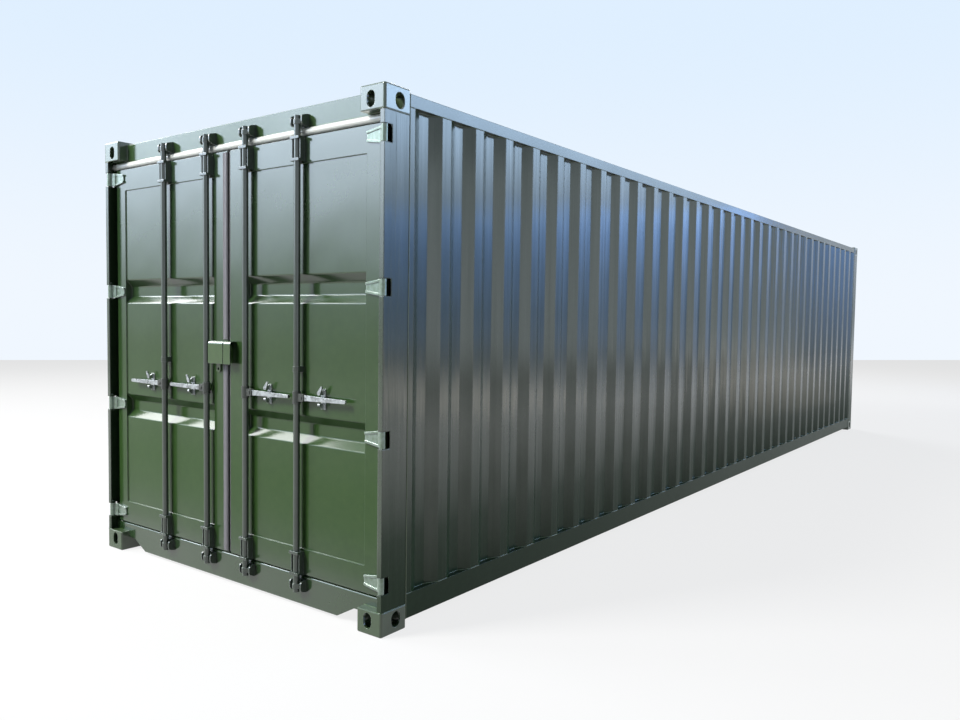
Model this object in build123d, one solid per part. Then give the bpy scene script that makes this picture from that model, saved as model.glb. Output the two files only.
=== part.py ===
"""Steel shipping container with two hinged doors at one end.

Millimetres. The origin is at the bottom centre: X runs across, to the right as the doors are faced from
outside, Y runs from the door end to the blind end, Z is up. A depth is a distance behind the plane that
the faces of the door-end corner castings lie in.
"""
import os
from math import atan2, cos, radians, sin, tan

from build123d import *

# Envelope, measured over the corner castings
LENGTH = 9754
WIDTH = 2438
HEIGHT = 2591

# Corner castings: hollow blocks with a slot in three faces
CASTING_LENGTH = 178
CASTING_WIDTH = 162
CASTING_HEIGHT = 118
CASTING_SLOT_WALL = 28
CASTING_WALL = 12
CASTING_CORNER = 12
CASTING_REST_EDGE = 8
CASTING_WELD_EDGE = 4
CASTING_PROUD = 4
SLOT_LENGTH = 124
SLOT_WIDTH = 63.5
SLOT_FROM_END = 103.5
SLOT_FROM_SIDE = 89.5
END_SLOT_WIDTH = 51
SIDE_SLOT_WIDTH = 63.5
LIFT_SLOT_HEIGHT = 77

# Frame of the body
TOP_SET_DOWN = 18
TOP_RAIL = 60
TOP_RAIL_WALL = 4
BOTTOM_RAIL_FOOT = 45
BOTTOM_RAIL_HEIGHT = 122
BOTTOM_RAIL_WALL = 5
BOTTOM_RAIL_TOP_FLANGE = 48
BOTTOM_RAIL_LOW_FLANGE = 30
POST_PLATE = 6
POST_STRIP = 28
POST_BOX_PLATE = 8
POST_WIDTH = 44
DOORWAY_FOOT = 170
END_POST_LIP = 46

# Header and sill across the doorway
HEADER_HEIGHT = 146
HEADER_FACE = 60
HEADER_PLATE = 5
LIP_REACH = 15
LIP_HEIGHT = 40
SILL_FACE = 50
SILL_PLATE = 6
SILL_BEND = 12
SILL_FOOT = 81
APRON_FOOT = 17
APRON_FROM_CASTING = 187
APRON_SLANT = 120
GUSSET_PLATE = 4

# Sheets of the body
SHEET = 2
SIDE_RECESSES = 34
SIDE_END_FLAT = 36
SIDE_SLOPE = 68
SIDE_FLOOR = 70
SIDE_DEPTH = 36
END_RECESSES = 8
END_MARGIN_FLAT = 60
END_SLOPE = 18
END_FLOOR = 110
END_DEPTH = 45
END_WALL_INSET = 8
ROOF_PITCH = 209
ROOF_SLOPE = 14
ROOF_FLOOR = 91
ROOF_DEPTH = 20

# Floor
FLOOR_THICKNESS = 28
FLOOR_EDGE_GAP = 2
CROSS_PITCH = 300
CROSS_WIDTH = 45
CROSS_PLATE = 4

# Door leaves
LEAF_FACE = 46
LEAF_THICKNESS = 50
LEAF_SIDE_GAP = 11
LEAF_HALF_SEAM = 9
LEAF_FOOT_GAP = 8
LEAF_HEAD_GAP = 7
INNER_STILE = 126
OUTER_STILE = 98
STILE_BEND = 6
LOW_MEMBER = 133
TOP_MEMBER = 131
MEMBER_PLATE = 5
PANEL_SET_BACK = 6
PANEL_SHEET = 2
LOW_BAND_RISE = 547
TOP_BAND_DROP = 708
BAND_SLOPE = 43
BAND_FLOOR = 62
BAND_DEPTH = 36
BAND_BEND = 12
GASKET_WIDTH = 26
GASKET_THICKNESS = 6
GASKET_MARGIN = 3
SEAL_GAP = 8

# Hinges: a barrel in a notch of the post, on a pin between two lugs
HINGE_RISES = (67, 762)
HINGE_DROPS = (765, 56)
BARREL_RADIUS = 15
BARREL_HEIGHT = 80
BARREL_INSET = 1
BARREL_WELD = 1
PIN_RADIUS = 8
PIN_CLEARANCE = 0.4
BARREL_END_GAP = 1
LUG_THICKNESS = 12
NOTCH_DEPTH = 54
STRAP_THICKNESS = 12
STRAP_REACH = 130
STRAP_ROOT_HEIGHT = 78
STRAP_TIP_HEIGHT = 50
STRAP_NECK = 10
STRAP_RIM = 11
STRAP_HOLLOW = 5

# Locking bars
BAR_RADIUS = 17
BAR_DEPTH = 22
INNER_BAR = 176
BAR_DROP = 82
BAR_HEAD_DROP = 49
CAM_RADIUS = 21
CAM_REACH = 28
CAM_NOSE = 8
CAM_THICKNESS = 24
CAM_FROM_BAR_END = 32
KEEPER_HALF_GAP = 36
KEEPER_CHEEK = 9
KEEPER_HEIGHT = 66
KEEPER_NOSE_HEIGHT = 46
KEEPER_NOSE_BEND = 18
KEEPER_FRONT = 12
KEEPER_BASE = 5

# Bearings that hold the bars to the doors
GUIDE_WIDTH = 65
GUIDE_HEIGHT = 124
GUIDE_PLATE = 5
GUIDE_COLLAR = 14
GUIDE_FRONT = 1
BAR_CLEARANCE = 1
MID_GUIDE_HEIGHT = 30
MID_GUIDE_RISE = 145
MID_GUIDE_WALL = 3

# Handles and the catches that hold them
HANDLE_RISE = 94
HANDLE_END_GAP = 59
HANDLE_EDGE_GAP = 205
HANDLE_ROOT = 30
HANDLE_TIP = 18
HANDLE_THICKNESS = 12
HUB_RADIUS = 21
HUB_HEIGHT = 64
HUB_CLEARANCE = 0.2
FORK_LENGTH = 62
FORK_HEIGHT = 40
FORK_THICKNESS = 20
FORK_BEND = 12
RIVET_RADIUS = 9
RIVET_LENGTH = 26
CATCH_FROM_BAR = 170
CATCH_WIDTH = 34
CATCH_GAP = 6
CATCH_LUG = 11
CATCH_BASE = 5
CATCH_BASE_HEIGHT = 104
CATCH_FRONT = 16
CATCH_TIP_BEND = 4
LATCH_RADIUS = 11
LATCH_TAIL = 34
LATCH_TAIL_RADIUS = 6
LATCH_THICKNESS = 8
LATCH_ANGLE = 58

# Lock box over the seam, one part on each door
LOCK_BOX_RISE = 144
LOCK_BOX_HEIGHT = 127
LOCK_BOX_BEND = 18
LOCK_BOX_LEFT = 136
LOCK_BOX_RIGHT = 64
LOCK_BOX_HALF_GAP = 3
LOCK_BOX_FRONT = 4
LOCK_BOX_PLATE = 4
STAPLE_PLACE = 88
STAPLE_DROP = 50
STAPLE_WIDTH = 36
STAPLE_CORNER = 15
STAPLE_HOLE = 8

# Values that follow from the sizes above
SIDE_FACE = WIDTH / 2 - CASTING_PROUD
TOP_FRAME = HEIGHT - TOP_SET_DOWN
RAIL_TOP = BOTTOM_RAIL_FOOT + BOTTOM_RAIL_HEIGHT
HEADER_FOOT = TOP_FRAME - HEADER_HEIGHT
DOORWAY_HALF = SIDE_FACE - POST_WIDTH
APRON_HALF = WIDTH / 2 - CASTING_WIDTH - APRON_FROM_CASTING
LEAF_EDGE = DOORWAY_HALF - LEAF_SIDE_GAP
LEAF_FOOT = DOORWAY_FOOT + LEAF_FOOT_GAP
LEAF_HEAD = HEADER_FOOT - LEAF_HEAD_GAP
LEAF_BACK = LEAF_FACE + LEAF_THICKNESS
PANEL_FACE = LEAF_FACE + PANEL_SET_BACK
WINDOW_INNER = LEAF_HALF_SEAM + INNER_STILE
WINDOW_OUTER = LEAF_EDGE - OUTER_STILE
WINDOW_FOOT = LEAF_FOOT + LOW_MEMBER
WINDOW_HEAD = LEAF_HEAD - TOP_MEMBER
BAND_FEET = (WINDOW_FOOT + LOW_BAND_RISE, WINDOW_HEAD - TOP_BAND_DROP)
BAND_HEIGHT = 2 * BAND_SLOPE + BAND_FLOOR
POST_BOX_FACE = LEAF_BACK + SEAL_GAP
POST_INSIDE = SIDE_FACE - POST_PLATE
CASTING_INNER = WIDTH / 2 - CASTING_WIDTH
PIN_X = SIDE_FACE - BARREL_INSET - BARREL_RADIUS
PIN_DEPTH = CASTING_PROUD + BARREL_INSET + BARREL_RADIUS
FLOOR_TOP = DOORWAY_FOOT
FLOOR_FOOT = FLOOR_TOP - FLOOR_THICKNESS
LOW_HINGES = [LEAF_FOOT + rise for rise in HINGE_RISES]
TOP_HINGES = [LEAF_HEAD - drop for drop in HINGE_DROPS]
HINGE_HEIGHTS = LOW_HINGES + TOP_HINGES
BAR_FOOT = DOORWAY_FOOT - BAR_DROP
BAR_HEAD = TOP_FRAME - BAR_HEAD_DROP
HANDLE_LENGTH = (LEAF_EDGE - HANDLE_EDGE_GAP - INNER_BAR - HANDLE_END_GAP) / 2
BAR_PLACES = {"inner": INNER_BAR, "outer": INNER_BAR + HANDLE_LENGTH + HANDLE_END_GAP}
HANDLE_PLACE = BAND_FEET[0] + BAND_HEIGHT + HANDLE_RISE
MID_GUIDE_PLACE = HANDLE_PLACE + MID_GUIDE_RISE
LOCK_BOX_FOOT = HANDLE_PLACE + LOCK_BOX_RISE


def along(depth):
    """Y of a depth behind the door end."""
    return depth - LENGTH / 2


def front_plane(x, depth, z):
    """Plane that faces the door end, with its X across and its Y upwards."""
    return Plane(origin=(x, along(depth), z), x_dir=(1, 0, 0), z_dir=(0, -1, 0))


def block(x_range, depth_range, z_range):
    """Straight block between two values along each axis."""
    low = (x_range[0], along(depth_range[0]), z_range[0])
    size = [r[1] - r[0] for r in (x_range, depth_range, z_range)]
    return Pos(*low) * Box(*size, align=(Align.MIN, Align.MIN, Align.MIN))


def plan_prism(points, z_range):
    """Outline of (x, depth) points, raised between two heights."""
    face = Polygon(*[(x, along(depth)) for x, depth in points], align=None)
    return extrude(Pos(0, 0, z_range[0]) * face, z_range[1] - z_range[0], dir=(0, 0, 1))


def side_prism(points, x_range):
    """Outline of (depth, z) points, drawn out across the container."""
    face = Polygon(*[(along(depth), z) for depth, z in points], align=None)
    return extrude(Plane.YZ.offset(x_range[0]) * face, x_range[1] - x_range[0], dir=(1, 0, 0))


def front_prism(points, depth_range):
    """Outline of (x, z) points as seen from the door end, drawn out along the container."""
    face = Polygon(*points, align=None)
    return extrude(front_plane(0, depth_range[0], 0) * face, depth_range[1] - depth_range[0], dir=(0, 1, 0))


def upright(x, depth, radius, z_range):
    """Vertical cylinder between two heights."""
    base = Pos(x, along(depth), z_range[0])
    return base * Cylinder(radius, z_range[1] - z_range[0], align=(Align.CENTER, Align.CENTER, Align.MIN))


def group(solids):
    """Several solids that share one node."""
    return Compound([solid for piece in solids for solid in piece.solids()])


def mirrored(shape):
    """The same piece on the other side of the container."""
    return mirror(shape, about=Plane.YZ)


def corrugated(start, end, recesses, slope, floor, depth, sheet):
    """Outline of a pressed sheet as (along, inwards) points.

    recesses are the places where each recess starts. The inner line stays one sheet thickness away from
    the outer line on the slopes too, so its bends are shifted by the tangent of half the bend.
    """
    shift = sheet * tan(atan2(depth, slope) / 2)
    outer = [(start, 0)]
    inner = [(start, sheet)]
    for place in recesses:
        bends = (place, place + slope, place + slope + floor, place + 2 * slope + floor)
        levels = (0, depth, depth, 0)
        sides = (-shift, -shift, shift, shift)
        outer += list(zip(bends, levels))
        inner += [(bend + side, level + sheet) for bend, level, side in zip(bends, levels, sides)]
    outer.append((end, 0))
    inner.append((end, sheet))
    return outer + inner[::-1]


def spread(start, end, count, width):
    """Starts of count equal recesses of one width, the first at start and the last ending at end."""
    step = (end - start - width) / (count - 1)
    return [start + step * number for number in range(count)]


def corner_casting():
    """Bottom casting at the right of the door end, with its three slots."""
    x_outer = WIDTH / 2
    body = block((CASTING_INNER, x_outer), (0, CASTING_LENGTH), (0, CASTING_HEIGHT))
    body = fillet(body.edges().filter_by(Axis.Z), CASTING_CORNER)
    body = fillet(body.faces().sort_by(Axis.Z)[0].edges(), CASTING_REST_EDGE)
    body = fillet(body.faces().sort_by(Axis.Z)[-1].edges(), CASTING_WELD_EDGE)
    hollow_foot = CASTING_SLOT_WALL
    hollow_head = CASTING_HEIGHT - CASTING_WALL
    body -= block(
        (CASTING_INNER + CASTING_WALL, x_outer - CASTING_WALL),
        (CASTING_WALL, CASTING_LENGTH - CASTING_WALL),
        (hollow_foot, hollow_head),
    )
    slot_x = x_outer - SLOT_FROM_SIDE
    slot_z = (hollow_foot + hollow_head) / 2
    lock_slot = Pos(slot_x, along(SLOT_FROM_END), 0) * SlotOverall(SLOT_LENGTH, SLOT_WIDTH, rotation=90)
    body -= extrude(lock_slot, CASTING_SLOT_WALL, dir=(0, 0, 1))
    end_slot = front_plane(slot_x, 0, slot_z) * SlotOverall(LIFT_SLOT_HEIGHT, END_SLOT_WIDTH, rotation=90)
    body -= extrude(end_slot, CASTING_WALL, dir=(0, 1, 0))
    side_plane = Plane(origin=(x_outer, along(SLOT_FROM_END), slot_z), x_dir=(0, 1, 0), z_dir=(1, 0, 0))
    side_slot = side_plane * SlotOverall(LIFT_SLOT_HEIGHT, SIDE_SLOT_WIDTH, rotation=90)
    body -= extrude(side_slot, CASTING_WALL, dir=(-1, 0, 0))
    return body


def casting_pairs():
    """The eight castings, as a left and right pair for each corner height and end."""
    right = corner_casting()
    pair = group([right, mirrored(right)])
    middle = Plane(origin=(0, 0, HEIGHT / 2), z_dir=(0, 0, 1))
    top_pair = mirror(pair, about=middle)
    return {
        "castings_door_bottom": pair,
        "castings_door_top": top_pair,
        "castings_end_bottom": mirror(pair, about=Plane.XZ),
        "castings_end_top": mirror(top_pair, about=Plane.XZ),
    }


def door_post():
    """Right post of the doorway: outer angle, box behind the leaf, hinge notches, lugs and pins."""
    z_range = (CASTING_HEIGHT, HEIGHT - CASTING_HEIGHT)
    front = CASTING_PROUD
    outline = [
        (SIDE_FACE - POST_STRIP, front),
        (SIDE_FACE, front),
        (SIDE_FACE, CASTING_LENGTH),
        (DOORWAY_HALF, CASTING_LENGTH),
        (DOORWAY_HALF, POST_BOX_FACE),
        (POST_INSIDE, POST_BOX_FACE),
        (POST_INSIDE, front + POST_PLATE),
        (SIDE_FACE - POST_STRIP, front + POST_PLATE),
    ]
    post = plan_prism(outline, z_range)
    post -= block(
        (DOORWAY_HALF + POST_BOX_PLATE, POST_INSIDE),
        (POST_BOX_FACE + POST_BOX_PLATE, CASTING_LENGTH - POST_BOX_PLATE),
        z_range,
    )
    half_notch = BARREL_HEIGHT / 2 + BARREL_END_GAP
    for place in HINGE_HEIGHTS:
        post -= block(
            (SIDE_FACE - POST_STRIP, SIDE_FACE),
            (front, front + NOTCH_DEPTH),
            (place - half_notch, place + half_notch),
        )
        for foot in (place - half_notch - LUG_THICKNESS, place + half_notch):
            post += block(
                (SIDE_FACE - POST_STRIP, POST_INSIDE),
                (front + POST_PLATE, PIN_DEPTH + BARREL_RADIUS),
                (foot, foot + LUG_THICKNESS),
            )
        reach = half_notch + LUG_THICKNESS
        post += upright(PIN_X, PIN_DEPTH, PIN_RADIUS, (place - reach, place + reach))
    return post


def end_post():
    """Right post of the blind end: one pressed angle with a lip along the end wall."""
    back = LENGTH - CASTING_PROUD
    inner = CASTING_INNER
    outline = [
        (SIDE_FACE, back),
        (SIDE_FACE, LENGTH - CASTING_LENGTH),
        (POST_INSIDE, LENGTH - CASTING_LENGTH),
        (POST_INSIDE, back - POST_PLATE),
        (inner + POST_PLATE, back - POST_PLATE),
        (inner + POST_PLATE, back - END_POST_LIP),
        (inner, back - END_POST_LIP),
        (inner, back),
    ]
    return plan_prism(outline, (CASTING_HEIGHT, HEIGHT - CASTING_HEIGHT))


def clear_of_corners(beam, head_casting):
    """Cuts the room of the castings and of the post boxes out of a beam across the doorway."""
    if head_casting:
        casting_z = (HEIGHT - CASTING_HEIGHT, HEIGHT)
    else:
        casting_z = (0, CASTING_HEIGHT)
    casting_room = block((CASTING_INNER, WIDTH / 2), (0, CASTING_LENGTH), casting_z)
    box_room = block((DOORWAY_HALF, WIDTH / 2), (POST_BOX_FACE, CASTING_LENGTH), (0, HEIGHT))
    return beam - casting_room - mirrored(casting_room) - box_room - mirrored(box_room)


def hollow_beam(section, wall, x_range):
    """Closed beam with one wall thickness, drawn out across the container."""
    ring = section - offset(section, -wall, kind=Kind.TANGENT)
    return extrude(Plane.YZ.offset(x_range[0]) * ring, x_range[1] - x_range[0], dir=(1, 0, 0))


def beam_section(depth_range, z_range):
    """Rectangular section of a beam across the container."""
    corners = [(along(depth), z) for depth in depth_range for z in z_range]
    return Polygon(corners[0], corners[1], corners[3], corners[2], align=None)


def door_header():
    """Beam over the doors, with the half-round drip lip along its foot."""
    face = along(HEADER_FACE)
    back = along(CASTING_LENGTH)
    lip_head = HEADER_FOOT + LIP_HEIGHT
    corners = [
        (face, HEADER_FOOT),
        (back, HEADER_FOOT),
        (back, TOP_FRAME),
        (face, TOP_FRAME),
        (face, lip_head),
    ]
    lip_middle = (face - LIP_REACH, HEADER_FOOT + LIP_HEIGHT / 2)
    lip = ThreePointArc(corners[-1], lip_middle, corners[0])
    section = make_face(Polyline(*corners).edges() + [lip.edge()])
    return clear_of_corners(hollow_beam(section, HEADER_PLATE, (-POST_INSIDE, POST_INSIDE)), True)


def door_sill():
    """Threshold beam with a bent front edge and a lower apron that stops short of the castings."""
    section = beam_section((SILL_FACE, CASTING_LENGTH), (SILL_FOOT, DOORWAY_FOOT))
    section = fillet(section.vertices().group_by(Axis.Y)[-1].sort_by(Axis.X)[0], SILL_BEND)
    sill = clear_of_corners(hollow_beam(section, SILL_PLATE, (-POST_INSIDE, POST_INSIDE)), False)
    apron = [
        (-APRON_HALF, APRON_FOOT),
        (APRON_HALF, APRON_FOOT),
        (APRON_HALF + APRON_SLANT, SILL_FOOT),
        (-APRON_HALF - APRON_SLANT, SILL_FOOT),
    ]
    return sill + front_prism(apron, (SILL_FACE, SILL_FACE + SILL_PLATE))


def end_top_rail():
    """Square tube over the blind end, with the gusset plate that closes the roof between the castings."""
    back = LENGTH - CASTING_PROUD
    x_range = (-CASTING_INNER, CASTING_INNER)
    section = beam_section((back - TOP_RAIL, back), (TOP_FRAME - TOP_RAIL, TOP_FRAME))
    tube = hollow_beam(section, TOP_RAIL_WALL, x_range)
    gusset_depths = (LENGTH - CASTING_LENGTH, back - TOP_RAIL)
    return tube + block(x_range, gusset_depths, (TOP_FRAME - GUSSET_PLATE, TOP_FRAME))


def end_bottom_rail():
    """Channel under the blind end, open towards the floor."""
    back = LENGTH - CASTING_PROUD
    front = back - TOP_RAIL
    x_range = (-CASTING_INNER, CASTING_INNER)
    rail = block(x_range, (front, back), (BOTTOM_RAIL_FOOT, RAIL_TOP))
    inside = (BOTTOM_RAIL_FOOT + BOTTOM_RAIL_WALL, RAIL_TOP - BOTTOM_RAIL_WALL)
    return rail - block(x_range, (front, back - BOTTOM_RAIL_WALL), inside)


def top_rail():
    """Square tube along the top of the right side."""
    depths = (CASTING_LENGTH, LENGTH - CASTING_LENGTH)
    rail = block((SIDE_FACE - TOP_RAIL, SIDE_FACE), depths, (TOP_FRAME - TOP_RAIL, TOP_FRAME))
    wall = TOP_RAIL_WALL
    bore_x = (SIDE_FACE - TOP_RAIL + wall, SIDE_FACE - wall)
    bore_z = (TOP_FRAME - TOP_RAIL + wall, TOP_FRAME - wall)
    return rail - block(bore_x, depths, bore_z)


def bottom_rail():
    """Channel along the foot of the right side, with a wide flange under the wall."""
    outline = [
        (SIDE_FACE, BOTTOM_RAIL_FOOT),
        (SIDE_FACE, RAIL_TOP),
        (SIDE_FACE - BOTTOM_RAIL_TOP_FLANGE, RAIL_TOP),
        (SIDE_FACE - BOTTOM_RAIL_TOP_FLANGE, RAIL_TOP - BOTTOM_RAIL_WALL),
        (SIDE_FACE - BOTTOM_RAIL_WALL, RAIL_TOP - BOTTOM_RAIL_WALL),
        (SIDE_FACE - BOTTOM_RAIL_WALL, BOTTOM_RAIL_FOOT + BOTTOM_RAIL_WALL),
        (SIDE_FACE - BOTTOM_RAIL_LOW_FLANGE, BOTTOM_RAIL_FOOT + BOTTOM_RAIL_WALL),
        (SIDE_FACE - BOTTOM_RAIL_LOW_FLANGE, BOTTOM_RAIL_FOOT),
    ]
    return front_prism(outline, (CASTING_LENGTH, LENGTH - CASTING_LENGTH))


def side_wall():
    """Corrugated sheet of the right side, between the rails and the posts."""
    start = CASTING_LENGTH
    end = LENGTH - CASTING_LENGTH
    width = 2 * SIDE_SLOPE + SIDE_FLOOR
    recesses = spread(start + SIDE_END_FLAT, end - SIDE_END_FLAT, SIDE_RECESSES, width)
    outline = corrugated(start, end, recesses, SIDE_SLOPE, SIDE_FLOOR, SIDE_DEPTH, SHEET)
    points = [(SIDE_FACE - inwards, depth) for depth, inwards in outline]
    return plan_prism(points, (RAIL_TOP, TOP_FRAME - TOP_RAIL))


def end_wall():
    """Corrugated sheet that closes the blind end."""
    width = 2 * END_SLOPE + END_FLOOR
    reach = CASTING_INNER
    recesses = spread(-reach + END_MARGIN_FLAT, reach - END_MARGIN_FLAT, END_RECESSES, width)
    outline = corrugated(-reach, reach, recesses, END_SLOPE, END_FLOOR, END_DEPTH, SHEET)
    face = LENGTH - END_WALL_INSET
    points = [(x, face - inwards) for x, inwards in outline]
    return plan_prism(points, (RAIL_TOP, TOP_FRAME - TOP_RAIL))


def roof_panel():
    """Roof sheet with shallow corrugations across the container."""
    start = CASTING_LENGTH
    end = LENGTH - CASTING_LENGTH
    width = 2 * ROOF_SLOPE + ROOF_FLOOR
    margin = ROOF_PITCH - width
    count = int((end - start - margin) // ROOF_PITCH)
    recesses = spread(start + margin, end - margin, count, width)
    outline = corrugated(start, end, recesses, ROOF_SLOPE, ROOF_FLOOR, ROOF_DEPTH, SHEET)
    points = [(depth, TOP_FRAME - inwards) for depth, inwards in outline]
    reach = SIDE_FACE - TOP_RAIL
    return side_prism(points, (-reach, reach))


def floor_deck():
    """Plywood floor between the bottom rails."""
    reach = SIDE_FACE - BOTTOM_RAIL_TOP_FLANGE - FLOOR_EDGE_GAP
    start = CASTING_LENGTH + FLOOR_EDGE_GAP
    end = LENGTH - CASTING_PROUD - TOP_RAIL - FLOOR_EDGE_GAP
    return block((-reach, reach), (start, end), (FLOOR_FOOT, FLOOR_TOP))


def cross_members():
    """Row of channels that carries the floor from rail to rail."""
    reach = SIDE_FACE - BOTTOM_RAIL_WALL
    foot = BOTTOM_RAIL_FOOT + BOTTOM_RAIL_WALL
    start = CASTING_LENGTH + CROSS_PITCH / 2
    end = LENGTH - CASTING_LENGTH - CROSS_PITCH / 2
    count = int((end - start - CROSS_WIDTH) // CROSS_PITCH) + 1
    members = []
    for place in spread(start, end, count, CROSS_WIDTH):
        outline = [
            (place, foot),
            (place + CROSS_WIDTH, foot),
            (place + CROSS_WIDTH, foot + CROSS_PLATE),
            (place + CROSS_PLATE, foot + CROSS_PLATE),
            (place + CROSS_PLATE, FLOOR_FOOT - CROSS_PLATE),
            (place + CROSS_WIDTH, FLOOR_FOOT - CROSS_PLATE),
            (place + CROSS_WIDTH, FLOOR_FOOT),
            (place, FLOOR_FOOT),
        ]
        members.append(side_prism(outline, (-reach, reach)))
    return group(members)


def keeper(x, face, middle):
    """Pair of round-nosed cheeks on a base plate, either side of a bar's cam."""
    half = KEEPER_HEIGHT / 2
    nose = KEEPER_NOSE_HEIGHT / 2
    reach = KEEPER_HALF_GAP + KEEPER_CHEEK
    base = block((x - reach, x + reach), (face - KEEPER_BASE, face), (middle - half, middle + half))
    profile = [
        (face - KEEPER_BASE, middle - half),
        (face - KEEPER_BASE, middle + half),
        (KEEPER_FRONT, middle + nose),
        (KEEPER_FRONT, middle - nose),
    ]
    cheek = side_prism(profile, (x + KEEPER_HALF_GAP, x + reach))
    cheek = fillet(cheek.edges().filter_by(Axis.X).sort_by(Axis.Y)[:2], KEEPER_NOSE_BEND)
    return base + cheek + Pos(-reach - KEEPER_HALF_GAP, 0, 0) * cheek


def cam_keepers():
    """Keepers round each bar's cams: the upper ones stand on the drip lip of the header."""
    top_keeper = HEADER_FOOT + LIP_HEIGHT + KEEPER_HEIGHT / 2
    low_keeper = BAR_FOOT + CAM_FROM_BAR_END
    solids = []
    for place in BAR_PLACES.values():
        for x in (-place, place):
            solids.append(keeper(x, HEADER_FACE, top_keeper))
            solids.append(keeper(x, SILL_FACE, low_keeper))
    return group(solids)


def door_frame():
    """Welded frame of the right leaf: two stiles and two channels open to the inside."""
    leaf = block((LEAF_HALF_SEAM, LEAF_EDGE), (LEAF_FACE, LEAF_BACK), (LEAF_FOOT, LEAF_HEAD))
    leaf = fillet(leaf.edges().filter_by(Axis.Z), STILE_BEND)
    leaf -= block((WINDOW_INNER, WINDOW_OUTER), (LEAF_FACE, LEAF_BACK), (WINDOW_FOOT, WINDOW_HEAD))
    pocket_depths = (LEAF_FACE + MEMBER_PLATE, LEAF_BACK)
    for foot, head in ((LEAF_FOOT, WINDOW_FOOT), (WINDOW_HEAD, LEAF_HEAD)):
        pocket_z = (foot + MEMBER_PLATE, head - MEMBER_PLATE)
        leaf -= block((WINDOW_INNER, WINDOW_OUTER), pocket_depths, pocket_z)
    return leaf


def door_panel():
    """Pressed sheet of the right leaf, with two level bands set back."""
    outline = corrugated(
        WINDOW_FOOT, WINDOW_HEAD, BAND_FEET, BAND_SLOPE, BAND_FLOOR, BAND_DEPTH, PANEL_SHEET
    )
    points = [(PANEL_FACE + inwards, z) for z, inwards in outline]
    panel = side_prism(points, (WINDOW_INNER, WINDOW_OUTER))
    bends = panel.edges().filter_by(Axis.X).filter_by_position(
        Axis.Z, WINDOW_FOOT + BAND_BEND, WINDOW_HEAD - BAND_BEND
    )
    return fillet(bends, BAND_BEND)


def door_gasket():
    """Rubber seal round the back of the right leaf."""
    low_x = LEAF_HALF_SEAM + GASKET_MARGIN
    high_x = LEAF_EDGE - GASKET_MARGIN
    low_z = LEAF_FOOT + GASKET_MARGIN
    high_z = LEAF_HEAD - GASKET_MARGIN
    depths = (LEAF_BACK, LEAF_BACK + GASKET_THICKNESS)
    ring = block((low_x, high_x), depths, (low_z, high_z))
    hole_x = (low_x + GASKET_WIDTH, high_x - GASKET_WIDTH)
    hole_z = (low_z + GASKET_WIDTH, high_z - GASKET_WIDTH)
    return ring - block(hole_x, depths, hole_z)


def hinge(middle):
    """Barrel with its strap on the face of the right leaf, hollowed between two raised rims."""
    half = BARREL_HEIGHT / 2
    strap_front = LEAF_FACE - STRAP_THICKNESS
    neck = [
        (PIN_X - BARREL_RADIUS + BARREL_WELD, PIN_DEPTH + BARREL_RADIUS - STRAP_NECK),
        (LEAF_EDGE, strap_front),
        (PIN_X - STRAP_REACH, strap_front),
        (PIN_X - STRAP_REACH, LEAF_FACE),
        (LEAF_EDGE + STRAP_THICKNESS, LEAF_FACE),
        (PIN_X, PIN_DEPTH + BARREL_RADIUS - BARREL_WELD),
    ]
    root = STRAP_ROOT_HEIGHT / 2
    tip = STRAP_TIP_HEIGHT / 2
    strap = plan_prism(neck, (middle - root, middle + root))
    taper = [
        (PIN_X + BARREL_RADIUS, middle - root),
        (PIN_X + BARREL_RADIUS, middle + root),
        (LEAF_EDGE, middle + root),
        (PIN_X - STRAP_REACH, middle + tip),
        (PIN_X - STRAP_REACH, middle - tip),
        (LEAF_EDGE, middle - root),
    ]
    strap &= front_prism(taper, (0, LEAF_BACK))
    hollow = [
        (LEAF_EDGE, middle + root - STRAP_RIM),
        (PIN_X - STRAP_REACH, middle + tip - STRAP_RIM),
        (PIN_X - STRAP_REACH, middle - tip + STRAP_RIM),
        (LEAF_EDGE, middle - root + STRAP_RIM),
    ]
    strap -= front_prism(hollow, (strap_front, strap_front + STRAP_HOLLOW))
    body = strap + upright(PIN_X, PIN_DEPTH, BARREL_RADIUS, (middle - half, middle + half))
    return body - upright(PIN_X, PIN_DEPTH, PIN_RADIUS + PIN_CLEARANCE, (middle - half, middle + half))


def end_guide(x, foot):
    """Pressed channel with a collar at each end, which holds a bar to the face of the leaf."""
    half = GUIDE_WIDTH / 2
    head = foot + GUIDE_HEIGHT
    body = block((x - half, x + half), (GUIDE_FRONT, LEAF_FACE), (foot, head))
    body -= block(
        (x - half + GUIDE_PLATE, x + half - GUIDE_PLATE),
        (GUIDE_FRONT, LEAF_FACE - GUIDE_PLATE),
        (foot + GUIDE_COLLAR, head - GUIDE_COLLAR),
    )
    relief = BAR_DEPTH - BAR_RADIUS / 2
    body -= block((x - half, x + half), (GUIDE_FRONT, relief), (foot + GUIDE_COLLAR, head - GUIDE_COLLAR))
    return body - upright(x, BAR_DEPTH, BAR_RADIUS + BAR_CLEARANCE, (foot, head))


def mid_guide(x):
    """Small strap round a bar, on the panel."""
    z_range = (MID_GUIDE_PLACE - MID_GUIDE_HEIGHT / 2, MID_GUIDE_PLACE + MID_GUIDE_HEIGHT / 2)
    radius = BAR_RADIUS + BAR_CLEARANCE + MID_GUIDE_WALL
    body = upright(x, BAR_DEPTH, radius, z_range)
    body += block((x - radius, x + radius), (BAR_DEPTH, PANEL_FACE), z_range)
    return body - upright(x, BAR_DEPTH, BAR_RADIUS + BAR_CLEARANCE, z_range)


def bar_guides():
    """All the bearings of the two bars on the right leaf."""
    top_foot = LEAF_HEAD - GUIDE_HEIGHT
    solids = []
    for place in BAR_PLACES.values():
        solids.append(end_guide(place, LEAF_FOOT))
        solids.append(end_guide(place, top_foot))
    solids.append(mid_guide(BAR_PLACES["outer"]))
    return group(solids)


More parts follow.
